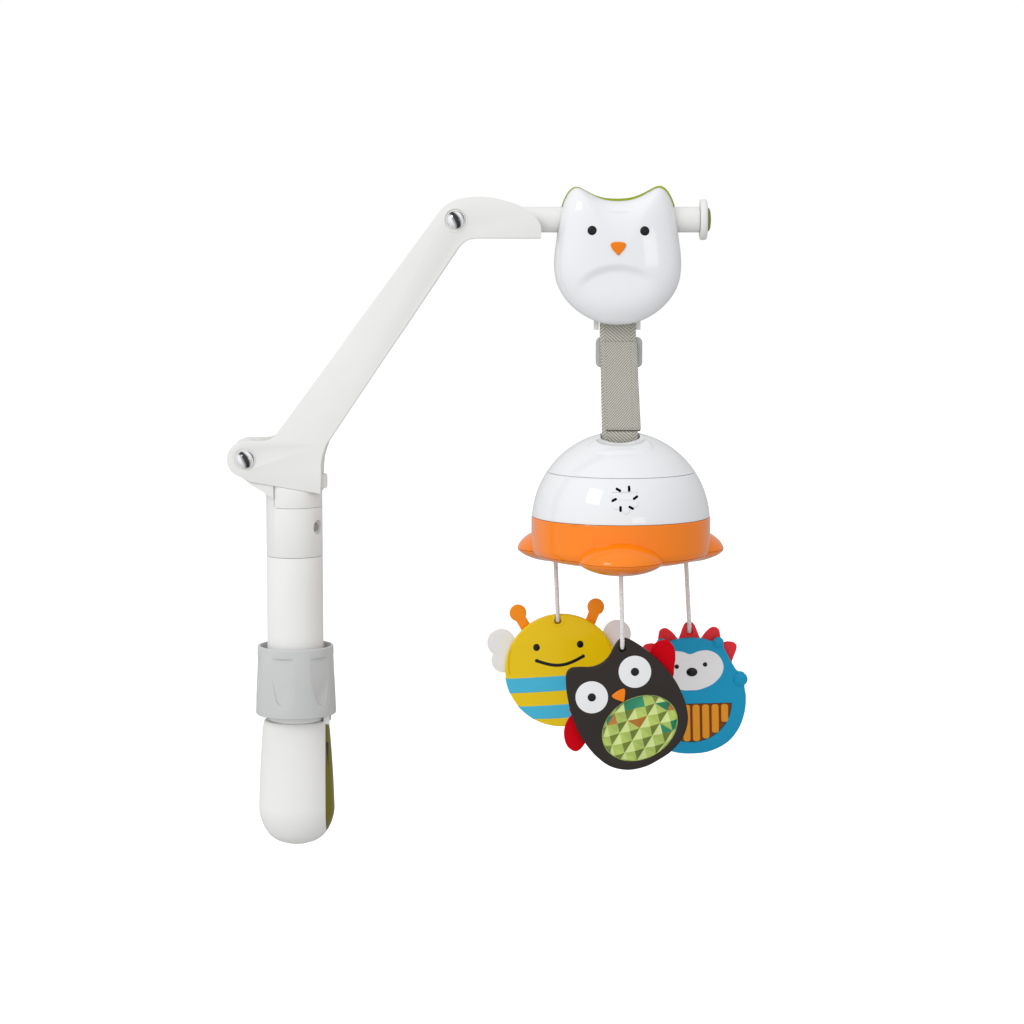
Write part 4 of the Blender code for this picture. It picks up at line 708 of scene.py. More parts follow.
# ---- arm
def build_arm():
    base = [(SEAM_AT[0], SEAM_AT[1] + GAP / 2), (-1.6, 276), (-0.2, 286), (3.7, 297.5)]
    elbow = [(119.0, 468.2), (121.6, 471.8), (125.6, 475.9), (130.6, 478.9), (137.0, 480.1)]
    nose = [(193.2, 479.8), (194.3, 481.0), (194.2, 489.1), (191.9, 495.2), (186.4, 501.8), (178.8, 507.1)]
    crown = [(169.3, 511.2), (154.5, 515.2), (144.0, 516.6), (134.5, 516.7), (121.4, 514.7), (112.5, 510.8),
             (105.8, 505.6)]
    lug = [(-41.0, 307.4), (-44.5, 303.6), (-49.0, 301.4), (-55.0, 300.8)]
    heel = (-64.8, seam_z(-64.8) + GAP / 2)
    floor = [base[0]] + flowing(base[1:], 6, closed=False) + flowing(elbow, 6, closed=False) + [nose[0]]
    top = flowing(nose[1:] + crown, 6, closed=False)
    back = flowing(lug, 4, closed=False) + arc(LOWER_PIVOT, 16.5, 90, 236, 30) + [heel]
    arm = plate("folding_arm", [floor + top + back], -ARM_HALF, ARM_HALF)
    shape = bmesh.new()
    shape.from_mesh(arm.data)
    bmesh.ops.dissolve_limit(shape, angle_limit=0.005, verts=shape.verts, edges=shape.edges)
    places = {(round(x, 1), round(z, 1)) for x, z in floor}

    def on_rim(edge):
        ends = [vert.co for vert in edge.verts]
        return (all((round(end.x / MM, 1), round(end.z / MM, 1)) in places for end in ends)
                and abs(ends[0].y - ends[1].y) < 1e-6)

    rims = [edge for edge in shape.edges if on_rim(edge)]
    bmesh.ops.bevel(shape, geom=rims, offset=13 * MM, segments=9, profile=0.5, affect="EDGES", clamp_overlap=True)
    shape.to_mesh(arm.data)
    shape.free()
    inside = [(-6.2, 240), (-5.3, 276), (-3.9, 287), (0.2, 299), (115.6, 470.3), (118.6, 474.6), (122.8, 479.4),
              (128.5, 483.3), (135.5, 484.9), (210, 484.9), (210, 540), (60, 540), (-70, 330), (-120, 320), (-120, 240)]
    punch(arm, inside, -ARM_HALF + CHEEK, ARM_HALF - CHEEK)
    join(arm, box("spring_wall", (-36, -34), (-22, 22), (262, 290)))
    for place, recess in ((LOWER_PIVOT, 9.7), (UPPER_PIVOT, 9.4)):
        drill(arm, PIVOT_HOLE, -30, 30, across(place))
        for far in (True, False):
            ring = [(recess, 25), (recess, 22.3), (8.6, 22.3), (8.6, 25)]
            cut(arm, mirrored_if(far, turned("cutter", ring, across(place), axis="Y", closed=True)))
    for far in (True, False):
        boss = [(9.6, 23.6), (10.6, 23.5), (11.0, 23.1), (11.0, 21), (9.6, 21)]
        join(arm, mirrored_if(far, turned("boss", boss, across(UPPER_PIVOT), axis="Y", closed=True)))
    window = box("cutter", (-8, 8), (-7, 7), (256.4, 269.6))
    cut(arm, soften(window, 1.6, 3))
    soften(arm, 0.45, 2, 40)
    show(arm, "arm", "white_plastic", "arm")
    pivot("lower_pivot", LOWER_PIVOT, "post", "lower_pivot_pin")
    pivot("upper_pivot", UPPER_PIVOT, "arm", "upper_pivot_pin")

    cap = soften(box("latch_push_button", (-7.5, 2.3), (-6.6, 6.6), (256.7, 269.3)), 1.5, 4)
    for x, y, z in (((-9.2, -6.6), (-8.6, 8.6), (256.7, 271.0)), ((-24.5, -8), (-4, 4), (263.5, 268)),
                    ((-24.5, -22), (-4, 4), (255.8, 265)), ((-23, -17.4), (-4, 4), (255.8, 258.6))):
        join(cap, box("joined", x, y, z))
    show(cap, "latch_button", "white_plastic", "latch_button")


# ---- rod
def build_rod():
    sleeve = [(9.0, 335.3), (10.9, 335.3), (ROD_R, 334.9), (ROD_R, 131.9), (10.9, 131.5), (9.0, 131.5)]
    show(turned("rod_tube", sleeve, ROD_AXIS, axis="X", closed=True), "rod", "white_plastic", "rod")
    knuckle = bar("rod_hinge", 12.4, -19.2, 19.2, across(UPPER_PIVOT), axis="Y", steps=96)
    neck = [(0, 160), (8.7, 160), (8.7, 131.2), (ROD_R, 131.2), (ROD_R, UPPER_PIVOT[0]), (0, UPPER_PIVOT[0])]
    join(knuckle, turned("neck", neck, ROD_AXIS, axis="X"))
    drill(knuckle, PIVOT_HOLE, -30, 30, across(UPPER_PIVOT))
    soften(knuckle, 0.5, 3)
    show(knuckle, "rod", "white_plastic", "rod_knuckle")
    flange = [(11.0, 342), (15.4, 342), (17.1, 341.5), (18.0, 340.4), (18.1, 339.0), (18.1, 337.0), (17.6, 335.9),
              (16.8, 335.6), (8.7, 335.6), (8.7, 320), (3.4, 320), (3.4, 341.6), (10.6, 341.6)]
    flange = turned("rod_end_flange", flange, ROD_AXIS, axis="X", steps=128, closed=True)
    show(flange, "rod", "white_plastic", "rod_flange")
    cap = [(0, 345.4), (4.0, 345.3), (7.4, 344.9), (9.4, 344.2), (10.3, 343.4), (10.5, 342.6), (10.3, 342.3),
           (3.1, 342.3), (3.1, 326), (0, 326)]
    # the end button's darker lime is painted shade
    show(turned("rod_end_button", cap, ROD_AXIS, CAP_SHADED_LIME, "X"), "rod", "lime_plastic", "rod_end_cap")


# ---- clip
HEAD = [(0, 51.4), (11, 52.4), (20, 55.4), (28, 59.6), (33.2, 62.3), (37.4, 62.9), (41.4, 60.9), (45.2, 56.0),
        (48.8, 48.0), (52.0, 34), (54.6, 17), (56.4, 3), (56.6, -9), (54.9, -20), (50.9, -29.5), (44.6, -38.4),
        (35.8, -46.6), (24.5, -53.4), (12.4, -57.6), (0, -58.7)]
SCOOP = ((-37.3, -19.6), (-1.1, -3.8), (33.5, -17.0))       # left end, top and right end of the thumb scoop's edge


def head_row(outline, depth, scale, grow, lean):
    """The head's outline at one depth: scaled, grown at the ears, and leaning forward below the pivot."""
    row = []
    for x, z in outline:
        size = hypot(x, z) or 1.0
        edge = grow * smoothstep(16, 34, z) * (0.5 + 0.5 * smoothstep(-30, 0, x)) - 0.3
        height = CLIP_Z + z * scale + edge * z / size
        row.append((CLIP_X + x * scale + edge * x / size, depth - lean * max(0.0, CLIP_PIVOT[1] - height), height))
    return row


def smooth_scale(levels, count):
    """Finer levels between the listed (depth, scale, lean) ones."""
    points = flowing([Vector(level) for level in levels], count, closed=False)
    return [tuple(p) for p in points]


def circle_through(a, b, c):
    """Centre and radius of the circle through three places."""
    (ax, ay), (bx, by), (cx, cy) = a, b, c
    d = 2 * (ax * (by - cy) + bx * (cy - ay) + cx * (ay - by))
    sa, sb, sc = ax * ax + ay * ay, bx * bx + by * by, cx * cx + cy * cy
    ux = (sa * (by - cy) + sb * (cy - ay) + sc * (ay - by)) / d
    uy = (sa * (cx - bx) + sb * (ax - cx) + sc * (bx - ax)) / d
    return ux, uy, hypot(ax - ux, ay - uy)


def scooped(point):
    """Sink the thumb scoop below its curved edge; it fades out towards the bottom and the sides."""
    x, y, z = point
    if y > -12:
        return point
    cx, cz, radius = circle_through(*SCOOP)
    px, pz = x - CLIP_X, z - CLIP_Z
    inside = radius - hypot(px - cx, pz - cz)
    step = smoothstep(-0.8, 8.0, inside)
    fade = 1 - smoothstep(2, 40, -3.8 - pz)
    sides = 1 - smoothstep(20, 42, abs(px + 4))
    return (x, y + 3.2 * step * fade * sides, z)


def build_clip():
    outline = flowing(mirrored(HEAD), 6)
    front_levels = [(-1.5, 1.0, 0.2), (-8, 0.999, 0.14), (-14, 0.985, 0.08), (-19, 0.955, 0.04), (-23.5, 0.905, 0.01),
                    (-27, 0.835, 0), (-29.8, 0.74, 0), (-31.9, 0.62, 0), (-33.3, 0.47, 0), (-34.0, 0.31, 0),
                    (-34.3, 0.18, 0), (-34.38, 0.09, 0), (-34.4, 0.02, 0)]
    rows = [head_row(outline, d, s, 0, lean) for d, s, lean in smooth_scale(front_levels, 5)]
    front = loft("clip_face", rows, GLOSS, scooped)
    skin = front.copy()
    skin.data = front.data.copy()
    bpy.context.scene.collection.objects.link(skin)
    walled(front, CLIP_WALL)
    path = bar("rod_path", 12.6, 150, 360, ROD_AXIS, axis="X", steps=96)
    cut(front, path, keep=True)
    join(front, box("rib", about(CLIP_X, 9), (-28.5, -14.8), (489, 504)))
    y, z = CLIP_PIVOT
    for side, name in ((-1, "left"), (1, "right")):
        lug = box(f"clip_{name}_lug", sorted((CLIP_X + side * 12, CLIP_X + side * 15.6)), (-29.4, y + 3.8),
                  (z - 5, z + 5), GLOSS)
        drill(lug, CLIP_HOLE, *about(CLIP_X, 25), (0, y, z), "X")
        show(soften(lug, 0.6, 2), "clip_front", "gloss_white_plastic")
    show(front, "clip_front", "gloss_white_plastic", "clip_front_shell", angle=50)

    back_levels = [(0.8, 1.0, 0), (7, 0.998, 0), (12, 0.98, 0), (16.5, 0.94, 0), (20, 0.875, 0), (22.8, 0.77, 0),
                   (24.8, 0.61, 0), (25.8, 0.4, 0), (26.1, 0.2, 0)]
    rows = [head_row(outline, d, s, 2.0, lean) for d, s, lean in smooth_scale(back_levels, 4)]
    back = loft("clip_back", rows, LIME)
    walled(back, CLIP_WALL)
    cut(back, path)
    cut(back, soften(box("cutter", about(CLIP_X, 21.4), (-3, 13), (390, 412)), 1.0))
    show(back, "clip", "lime_plastic", "clip_back_shell", angle=50)

    bracket = box("clip_bracket", about(CLIP_X, 20.8), (14.9, 17.2), (440, 505))
    for side in (-1, 1):
        cheek = rounded([(-2, 398.6), (8, 398.6), (8, 432), (16, 442), (16, 468), (-5.5, 468), (-5.5, 442), (-2, 436)],
                        1.6)
        span = sorted((CLIP_X + side * 16.6, CLIP_X + side * 20.8))
        join(bracket, plate("cheek", [cheek], span[0], span[1], WHITE, "YZ"))
    join(bracket, bar("bar", 1.9, *about(CLIP_X, 17.6), (0, 0, STRAP_TOP), axis="X"))
    drill(bracket, CLIP_HOLE, *about(CLIP_X, 25), (0, y, z), "X")
    soften(bracket, 0.5, 3)
    show(bracket, "clip", "white_plastic", "clip_frame")

    for name, x, z in (("left", CLIP_X - 23.4, 487.2), ("right", CLIP_X + 22.4, 486.8)):
        rows = [(0, -1.5), (1.6, -1.45), (3.0, -1.15), (3.9, -0.6), (4.3, 0.0), (4.3, 0.6), (0, 0.6)]
        lens = turned(f"{name}_eye_bead", rows, (x, 0, z), BLACK, "Y", 48)
        lens.data.transform(Matrix.Translation((0, (surface_at(skin, x, z) + 0.3) * MM, 0)))
        show(lens, "clip_front", "black_plastic", f"{name}_eye")
    x, z = CLIP_X - 0.6, 471.8
    half_beak = [(0, -6.2), (2.5, -3.9), (5.0, -1.0), (6.6, 2.2), (5.9, 4.6), (3.2, 5.4), (0, 5.6)]
    beak = [(x + px, z + pz) for px, pz in flowing(mirrored(half_beak), 5)]
    face = surface_at(skin, x, z)
    piece = plate("orange_beak", [beak], face - 1.5, face + 0.6, BEAK_ORANGE, rounding=0.95, segments=5)
    show(piece, "clip_front", "orange_plastic", "beak")
    discard(skin)


# ---- strap
def ribbon(name, path, lean, finish, width=32.0, thick=1.5, flare=0.0):
    """A woven band that follows a (y, z) path. Its edges are rounded and it drifts sideways as it falls."""
    half, edge = width / 2, thick / 2
    section = []
    for side in (1, -1):
        section += [(side * (half - edge + edge * cos(a)), side * edge * sin(a)) for a in (-1.2, -0.6, 0.0, 0.6, 1.2)]
        section += [(side * half * share, side * edge) for share in (0.66, 0.33, 0, -0.33, -0.66)]
    points = [Vector(p) for p in path]
    rows = []
    for i, here in enumerate(points):
        along = (points[min(i + 1, len(points) - 1)] - points[max(i - 1, 0)]).normalized()
        middle = STRAP_X_TOP + lean * (STRAP_TOP - here.y)
        spread = 1 + flare * sin(i * 0.9)
        rows.append([Vector((middle + x * spread, here.x + along.y * n, here.y - along.x * n)) for x, n in section])
    return tube(name, rows, finish)


def build_strap():
    turn_r = 3.4                             # from a bar's middle to the middle of the webbing
    top = arc((0, STRAP_TOP), turn_r, 0, 180, 13)
    low = arc((0, STRAP_LOW), turn_r, 180, 360, 13)
    back_run = [(turn_r, STRAP_LOW + (STRAP_TOP - STRAP_LOW) * i / 24) for i in range(1, 24)]
    front_run = [(-turn_r, STRAP_TOP - (STRAP_TOP - STRAP_LOW) * i / 24) for i in range(1, 24)]
    loop = ribbon("strap_loop", low[6:] + back_run + top + front_run + low[:6], STRAP_LEAN, WEB_COARSE)
    show(loop, "strap", "grey_webbing", "strap")
    over = [(-turn_r - 1.8 - 0.35 * sin(i * 0.45), STRAP_TOP - 24 - i * 3.0) for i in range(26)]
    y, z = over[-1]
    hem = [(y - 0.1, z - 2.2), (y + 0.4, z - 3.4), (y + 1.3, z - 3.3), (y + 1.6, z - 2.0), (y + 1.5, z + 6.0)]
    shadow = ribbon("strap_hem_shadow", [(-turn_r - 1.05, z - 1.0 - i) for i in range(5)], STRAP_LEAN + 0.03, SHADOW,
                    30.4, 0.5, 0.006)
    show(shadow, "strap", "grey_webbing")
    front = ribbon("strap_front_layer", over + hem, STRAP_LEAN + 0.03, WEB_FINE, 31.6, 1.3, 0.006)
    show(front, "strap", "grey_webbing")
    body = rectangle(243.2, 285.2, 364.8, 392.0, 5)
    slots = [rectangle(248.6, 279.8, 383.5, 387.3, 1.2, 4), rectangle(248.6, 279.8, 369.5, 373.3, 1.2, 4)]
    slider = plate("adjuster", [body] + slots, -1.1, 1.1, SLIDER, rounding=0.7)
    show(slider, "strap_slider", "slider_plastic", "strap_slider")


# ---- dome
def dish(wall):
    """A tilted oval ball that hollows the dome for the strap, or with a wall, the rim around that hollow."""
    rows = [pi * i / 32 for i in range(33)]
    profile = [(sin(a) if 0 < i < 32 else 0.0, cos(a)) for i, a in enumerate(rows)]
    made = turned("dish", profile, (0, 0, 0), GLOSS, steps=96)
    size = [s + wall for s in (28.5, 22.5, 16.0)]
    middle = (OPENING[0] * MM, (DOME_Y - 25.5) * MM, OPENING[1] * MM)
    made.data.transform(Matrix.Translation(middle) @ Matrix.Rotation(radians(18), 4, "X") @ Matrix.Diagonal((*size, 1)))
    return made


def raise_lip(cap):
    """A low, soft boss round the oval opening for the strap."""
    oval = [Vector((OPENING[0] + 21.2 * cos(t / 40 * pi), DOME_Y - 30.8 + 9.0 * sin(t / 40 * pi))) for t in range(80)]
    for vert in cap.data.vertices:
        x, y, z = vert.co / MM
        if z < CAP_SEAM + 4 or hypot(x - DOME_X, y - DOME_Y) < dome_radius(min(z, 306.9)) - 1.5:
            continue
        away = min((Vector((x, y)) - p).length for p in oval)
        lift = 1.1 * (1 - smoothstep(5.0, 8.5, away))
        out = Vector(((x - DOME_X) / DOME_R ** 2, (y - DOME_Y) / DOME_R ** 2,
                      (z - DOME_Z) / DOME_HEIGHT ** 2)).normalized()
        vert.co += out * lift * MM


def build_dome():
    low_z = CAP_SEAM + GAP / 2
    end = asin((low_z - DOME_Z) / DOME_HEIGHT)
    angles = [pi / 2 + (end - pi / 2) * i / 72 for i in range(73)]
    outside = [(DOME_R * cos(a) if i else 0.0, DOME_Z + DOME_HEIGHT * sin(a)) for i, a in enumerate(angles)]
    r, z = outside.pop()
    outside += [(r - 0.02, z + 0.45), (r - 0.2, z + 0.12), (r - 0.55, z)]
    inside = [(max(0.0, r - SHELL_WALL), z - SHELL_WALL) for r, z in outside[1:-3]]
    cap = turned("dome_top", outside + inside[::-1] + [(0, outside[0][1] - SHELL_WALL)], DOME_AXIS, GLOSS, steps=160)
    within = [(max(0.0, r - 0.9), z - 0.9) for r, z in outside[1:]]
    form = turned("form", [(0, outside[0][1] - 0.9)] + within + [(0, low_z - 0.9)], DOME_AXIS, GLOSS, steps=160)
    raise_lip(cap)
    join(cap, cut(dish(SHELL_WALL), form, "INTERSECT", keep=True))
    wall = box("wall", about(STRAP_X_LOW, 21), (-11, 11), (292, 320), GLOSS)
    join(cap, cut(wall, form, "INTERSECT"))
    cut(cap, dish(0))
    cut(cap, soften(box("cutter", about(STRAP_X_LOW, 17.6), (-9, 9), (270, 320)), 1.2))
    join(cap, bar("bar", 1.9, *about(STRAP_X_LOW, 19), (0, 0, STRAP_LOW), GLOSS, "X"))
    soften(cap, 0.7, 4, 34)
    show(cap, "dome", "gloss_white_plastic", "dome_cap")

    high = CAP_SEAM - GAP / 2
    shell = [(dome_radius(h), h) for h in (high - 0.5 - (high - 0.5 - BAND_LOW - 0.5) * i / 24 for i in range(25))]
    shell = [(dome_radius(high) - 0.6, high), (dome_radius(high) - 0.15, high - 0.1)] + shell
    shell += [(dome_radius(BAND_LOW) - 0.15, BAND_LOW + 0.1), (dome_radius(BAND_LOW) - 0.6, BAND_LOW)]
    inner = [(dome_radius(h) - SHELL_WALL, h) for h in (BAND_LOW + (high - BAND_LOW) * i / 12 for i in range(13))]
    band = turned("dome_speaker_band", shell + inner, DOME_AXIS, GLOSS, steps=160, closed=True)
    slots = []
    for k in range(6):
        turn = radians(6 + 60 * k)
        lie = turn + radians(25)
        middle = (SPEAKER[0] + 9.4 * cos(turn), SPEAKER[1] + 9.4 * sin(turn))
        slots.append([(middle[0] + a * cos(lie) - b * sin(lie), middle[1] + a * sin(lie) + b * cos(lie))
                      for a, b in rectangle(-2.7, 2.7, -1.15, 1.15, 1.1, 5)])
        punch(band, slots[-1], -90, -50)
    drill(band, 9.3, 60, 110, (DOME_X, 0, 251))
    soften(band, 0.3, 2, 40)
    show(band, "dome", "gloss_white_plastic", "dome_band")
    petals = []
    for turn in (2 * pi * i / 144 for i in range(144)):
        reach = 11.0 + 1.9 * cos(6 * (turn - radians(36)))
        petals.append((SPEAKER[0] + reach * cos(turn), SPEAKER[1] + reach * sin(turn)))
    flower = plate("speaker_flower", [petals], -1.0, 0.35, GLOSS, rounding=0.25)
    for slot in slots:
        punch(flower, slot, -3, 3)
    for vert in flower.data.vertices:
        x, y, z = vert.co / MM
        vert.co.y = (DOME_Y - sqrt(dome_radius(z) ** 2 - (x - DOME_X) ** 2)
                     + (0.5 if y > -0.3 else 0.5 * (y + 0.3) - 0.4)) * MM
    show(flower, "dome", "gloss_white_plastic")
    button = [(0, 79.6), (4, 79.55), (7.0, 79.3), (8.4, 78.7), (9.0, 77.6), (9.0, 68.6), (10.6, 68.6), (10.6, 66.8),
              (0, 66.8)]
    button = turned("music_push_button", button, (DOME_X, DOME_Y, 251), ORANGE, "Y", 64)
    show(button, "music_button", "orange_plastic", "music_button")


# ---- rotor
def around_rotor(radius, k):
    """One of three places a third of a turn apart."""
    angle = radians(-90 + 120 * k + ROTOR_TURN)
    return DOME_X + radius * cos(angle), DOME_Y + radius * sin(angle)


def lens(way, place, thinner=0.0):
    """The upper (1) or lower (-1) half of a petal. A thinner one cuts the hollow inside it."""
    top = (PETAL_RISE if way > 0 else PETAL_DROP) - thinner
    reach, level, count = PETAL_R - thinner, ROTOR_SPLIT + way * GAP / 2, 22
    angles = [pi / 2 * i / count for i in range(count + 1)]
    profile = [(reach * sin(a), level + way * top * cos(a) ** 1.25) for a in angles]
    if thinner:
        profile.append((profile[-1][0], level - way))
    profile.append((0, profile[-1][1]))
    return turned("lens", profile[::way], (*place, 0), ORANGE, steps=112)


def build_rotor():
    split = ROTOR_SPLIT + GAP / 2
    outer = [(ROTOR_R - 1.0, ROTOR_TOP + 1.0), (ROTOR_R - 0.3, ROTOR_TOP + 0.75), (ROTOR_R, ROTOR_TOP), (ROTOR_R, 205),
             (80.5, 202.4), (80.0, 200.4), (79.2, 198.6), (78.6, split)]
    inner = [(76.2, split), (76.6, 201), (78.2, 204), (78.2, ROTOR_TOP + 1.0)]
    shell = turned("rotor_ring", outer + inner, DOME_AXIS, ORANGE, steps=180, closed=True)
    core = [(0, 250), (78.2, 250), (78.2, 204), (76.6, 201), (76.2, split - 5), (0, split - 5)]
    core = turned("core", core, DOME_AXIS, ORANGE, steps=180)
    for k in range(3):
        petal = lens(1, around_rotor(PETAL_RING, k))
        cut(petal, core, keep=True)
        join(shell, petal)
        cut(shell, lens(1, around_rotor(PETAL_RING, k), SHELL_WALL))
    discard(core)
    soften(shell, 0.5, 3, 14)
    show(shell, "rotor", "orange_plastic", "rotor_shell", angle=30)

    low = [(0, split - GAP), (78.6, split - GAP), (77.6, 195.9), (75.6, 194.7), (72, 193.3), (66, 191.8), (58, 190.2),
           (46, 188.7), (33, 187.7), (0, 186.8)]
    base = turned("rotor_underside", low, DOME_AXIS, ORANGE, steps=180)
    for k in range(3):
        join(base, lens(-1, around_rotor(PETAL_RING, k)))
    hollow = [(0, 200), (76.2, 200), (76.0, 197.0), (58, 192.6), (35, 190.2), (0, 189.2)]
    cut(base, turned("cutter", hollow, DOME_AXIS, ORANGE, steps=96))
    for k in range(3):
        cut(base, lens(-1, around_rotor(PETAL_RING, k), SHELL_WALL))
    join(base, bar("hub", 9.0, 188, 222, DOME_AXIS, ORANGE))
    teeth = []
    for k in range(32):
        middle = 2 * pi * k / 32 + radians(210) + pi / 32
        for radius, offset in ((28.125, -0.30), (31.41, -0.09), (31.41, 0.09), (28.125, 0.30)):
            angle = middle + offset * pi * 1.875 / 30
            teeth.append((DOME_X + radius * cos(angle), DOME_Y + radius * sin(angle)))
    join(base, plate("gear", [teeth], 216, 222, ORANGE, "XY"))
    drill(base, 3.3, 180, 240, DOME_AXIS, "Z")
    for k in range(3):
        drill(base, 3.0, 178, 192, (*around_rotor(STRING_RING, k), 0), "Z")
    soften(base, 0.4, 2, 30)
    show(base, "rotor", "orange_plastic", "rotor_base", angle=30)


# ---- toys
def string(name, body, place, end_z, slant):
    """A braided cord: two sets of strands that cross round a straight run and a bend into the toy."""
    x, y = place
    bend, turn = 8.0, radians(48)
    knee = end_z + bend * sin(turn)
    path = [(x, y, STRING_TOP)] + [(x + slant * i / 9, y, BEAD_LOW + (knee - BEAD_LOW) * i / 9) for i in range(10)]
    path += [(x + slant, y + bend * (1 - cos(turn * s / 4)), knee - bend * sin(turn * s / 4)) for s in range(1, 5)]
    straight = STRING_TOP - knee
    total = straight + bend * turn
    rows, around = int(total / 0.42), 32
    rings = []
    for i in range(rows + 1):
        s = total * i / rows
        if s <= straight:
            leant = slant * max(0.0, BEAD_LOW - STRING_TOP + s) / (BEAD_LOW - knee)
            centre, tilt = Vector((x + leant, y, STRING_TOP - s)), 0.0
        else:
            tilt = (s - straight) / bend
            centre = Vector((x + slant, y + bend * (1 - cos(tilt)), knee - bend * sin(tilt)))
        side, depth = Vector((1, 0, 0)), Vector((0, cos(tilt), sin(tilt)))
        ring = []
        for j in range(around):
            angle = 2 * pi * j / around
            cross = abs(sin(4 * angle + s * 1.25)) * 0.5 + abs(sin(4 * angle - s * 1.25)) * 0.5
            radius = STRING_R * (0.86 + 0.16 * cross)
            ring.append(centre + (side * cos(angle) + depth * sin(angle)) * radius)
        rings.append(ring)
    piece = show(tube(name, rings, CORD), body, "white_cord", f"{body}_string", angle=60)
    total * MM
    [tuple(c * MM for c in p) for p in path]


class Toy:
    """A toy on its string. Its pieces are drawn about its own centre, in its own tilted plane."""

    def __init__(self, body, number, hole, hole_z, slant, tilt):
        self.body, self.hole, self.hole_z, self.slant, self.tilt = body, hole, hole_z, slant, tilt
        self.x, self.y = around_rotor(STRING_RING, number)
        self.hang(3.4)

    def hang(self, depth):
        """Place the plane of the pieces that follow behind the string's own depth."""
        self.move = (Matrix.Translation(Vector((self.x + self.slant, self.y + depth, self.hole_z)) * MM)
                     @ Matrix.Rotation(radians(-self.tilt), 4, "Y")
                     @ Matrix.Translation(Vector((-self.hole[0], 0, -self.hole[1])) * MM))

    def put(self, obj, slot, *nodes, angle=38):
        obj.data.transform(self.move)
        return show(obj, self.body, slot, *nodes, angle=angle)

    def groove(self, target, top, front=FRONT, deep=-0.3, half_thick=TOY_HALF):
        """Cut the string's hole and the channel that leads to it."""
        x, z = self.hole
        punch(target, rectangle(x - 3.4, x + 3.4, z - 3.0, z + 2.8, 2.6), -12, half_thick - 1.0)
        channel = box("cutter", (-2.4, 2.4), (front - 3, deep), (0, top))
        channel.data.transform(Matrix.Translation(Vector((x, 0, z)) * MM) @ Matrix.Rotation(radians(self.tilt), 4, "Y"))
        cut(target, channel)

    def disc(self, name, outline, finish):
        return plate(name, [outline], -TOY_HALF, TOY_HALF, finish, rounding=1.6, segments=4)

    def beads(self, name, places, radius, rise, sunk=0.0, squash=1.0):
        """A row of black beads."""
        for number, (x, z) in enumerate(places):
            self.put(bead(f"{name}_{number + 1}", x, z, radius, rise, BLACK, sunk, squash), "black_plastic")

    def string(self):
        string(f"{self.body}_cord", self.body, (self.x, self.y), self.hole_z, self.slant)


def bead(name, x, z, radius, rise, finish, sunk=0.0, squash=1.0):
    """A low round dome on a toy's face."""
    rows = [(0, rise)] + [(radius * sin(t), rise * cos(t))
                          for t in (0.35, 0.7, 1.05, 1.35, pi / 2)] + [(radius, -0.4), (0, -0.4)]
    made = turned(name, rows, (0, 0, 0), finish, "Y", 48)
    made.data.transform(Matrix.Translation((x * MM, (FRONT - sunk) * MM, z * MM)) @ Matrix.Diagonal((1, -1, squash, 1)))
    made.data.flip_normals()
    return made


STRIPE_R, STRIPE_SAG = 52.35, 1.2
TOY_BACK = TOY_HALF + GAP                # where the wings behind a disc begin


def stripe(top, low):
    """A band across the bee's disc. Its two long edges sag in the middle."""
    start, end = (degrees(atan2(level, sqrt(STRIPE_R ** 2 - level ** 2))) for level in (low, top))
    edge = []
    for level, side, angles in ((top, 1, (start, end)), (low, -1, (180 - end, 180 - start))):
        half = side * sqrt(STRIPE_R ** 2 - level ** 2)
        edge += arc((0, 0), STRIPE_R, *angles, 16)
        edge += [(half * (1 - 2 * i / 24), level - STRIPE_SAG * (1 - (1 - 2 * i / 24) ** 2)) for i in range(1, 24)]
    return edge


def behind(name, base, parts, thick, finish, roundings):
    """A sheet behind a toy's disc: a base outline joined with others."""
    sheet = plate(name, [base], TOY_BACK, TOY_BACK + thick, finish, rounding=roundings[0])
    for loop, rounding in zip(parts, roundings[1:]):
        join(sheet, plate("part", [loop], TOY_BACK, TOY_BACK + thick, finish, rounding=rounding))
    return sheet


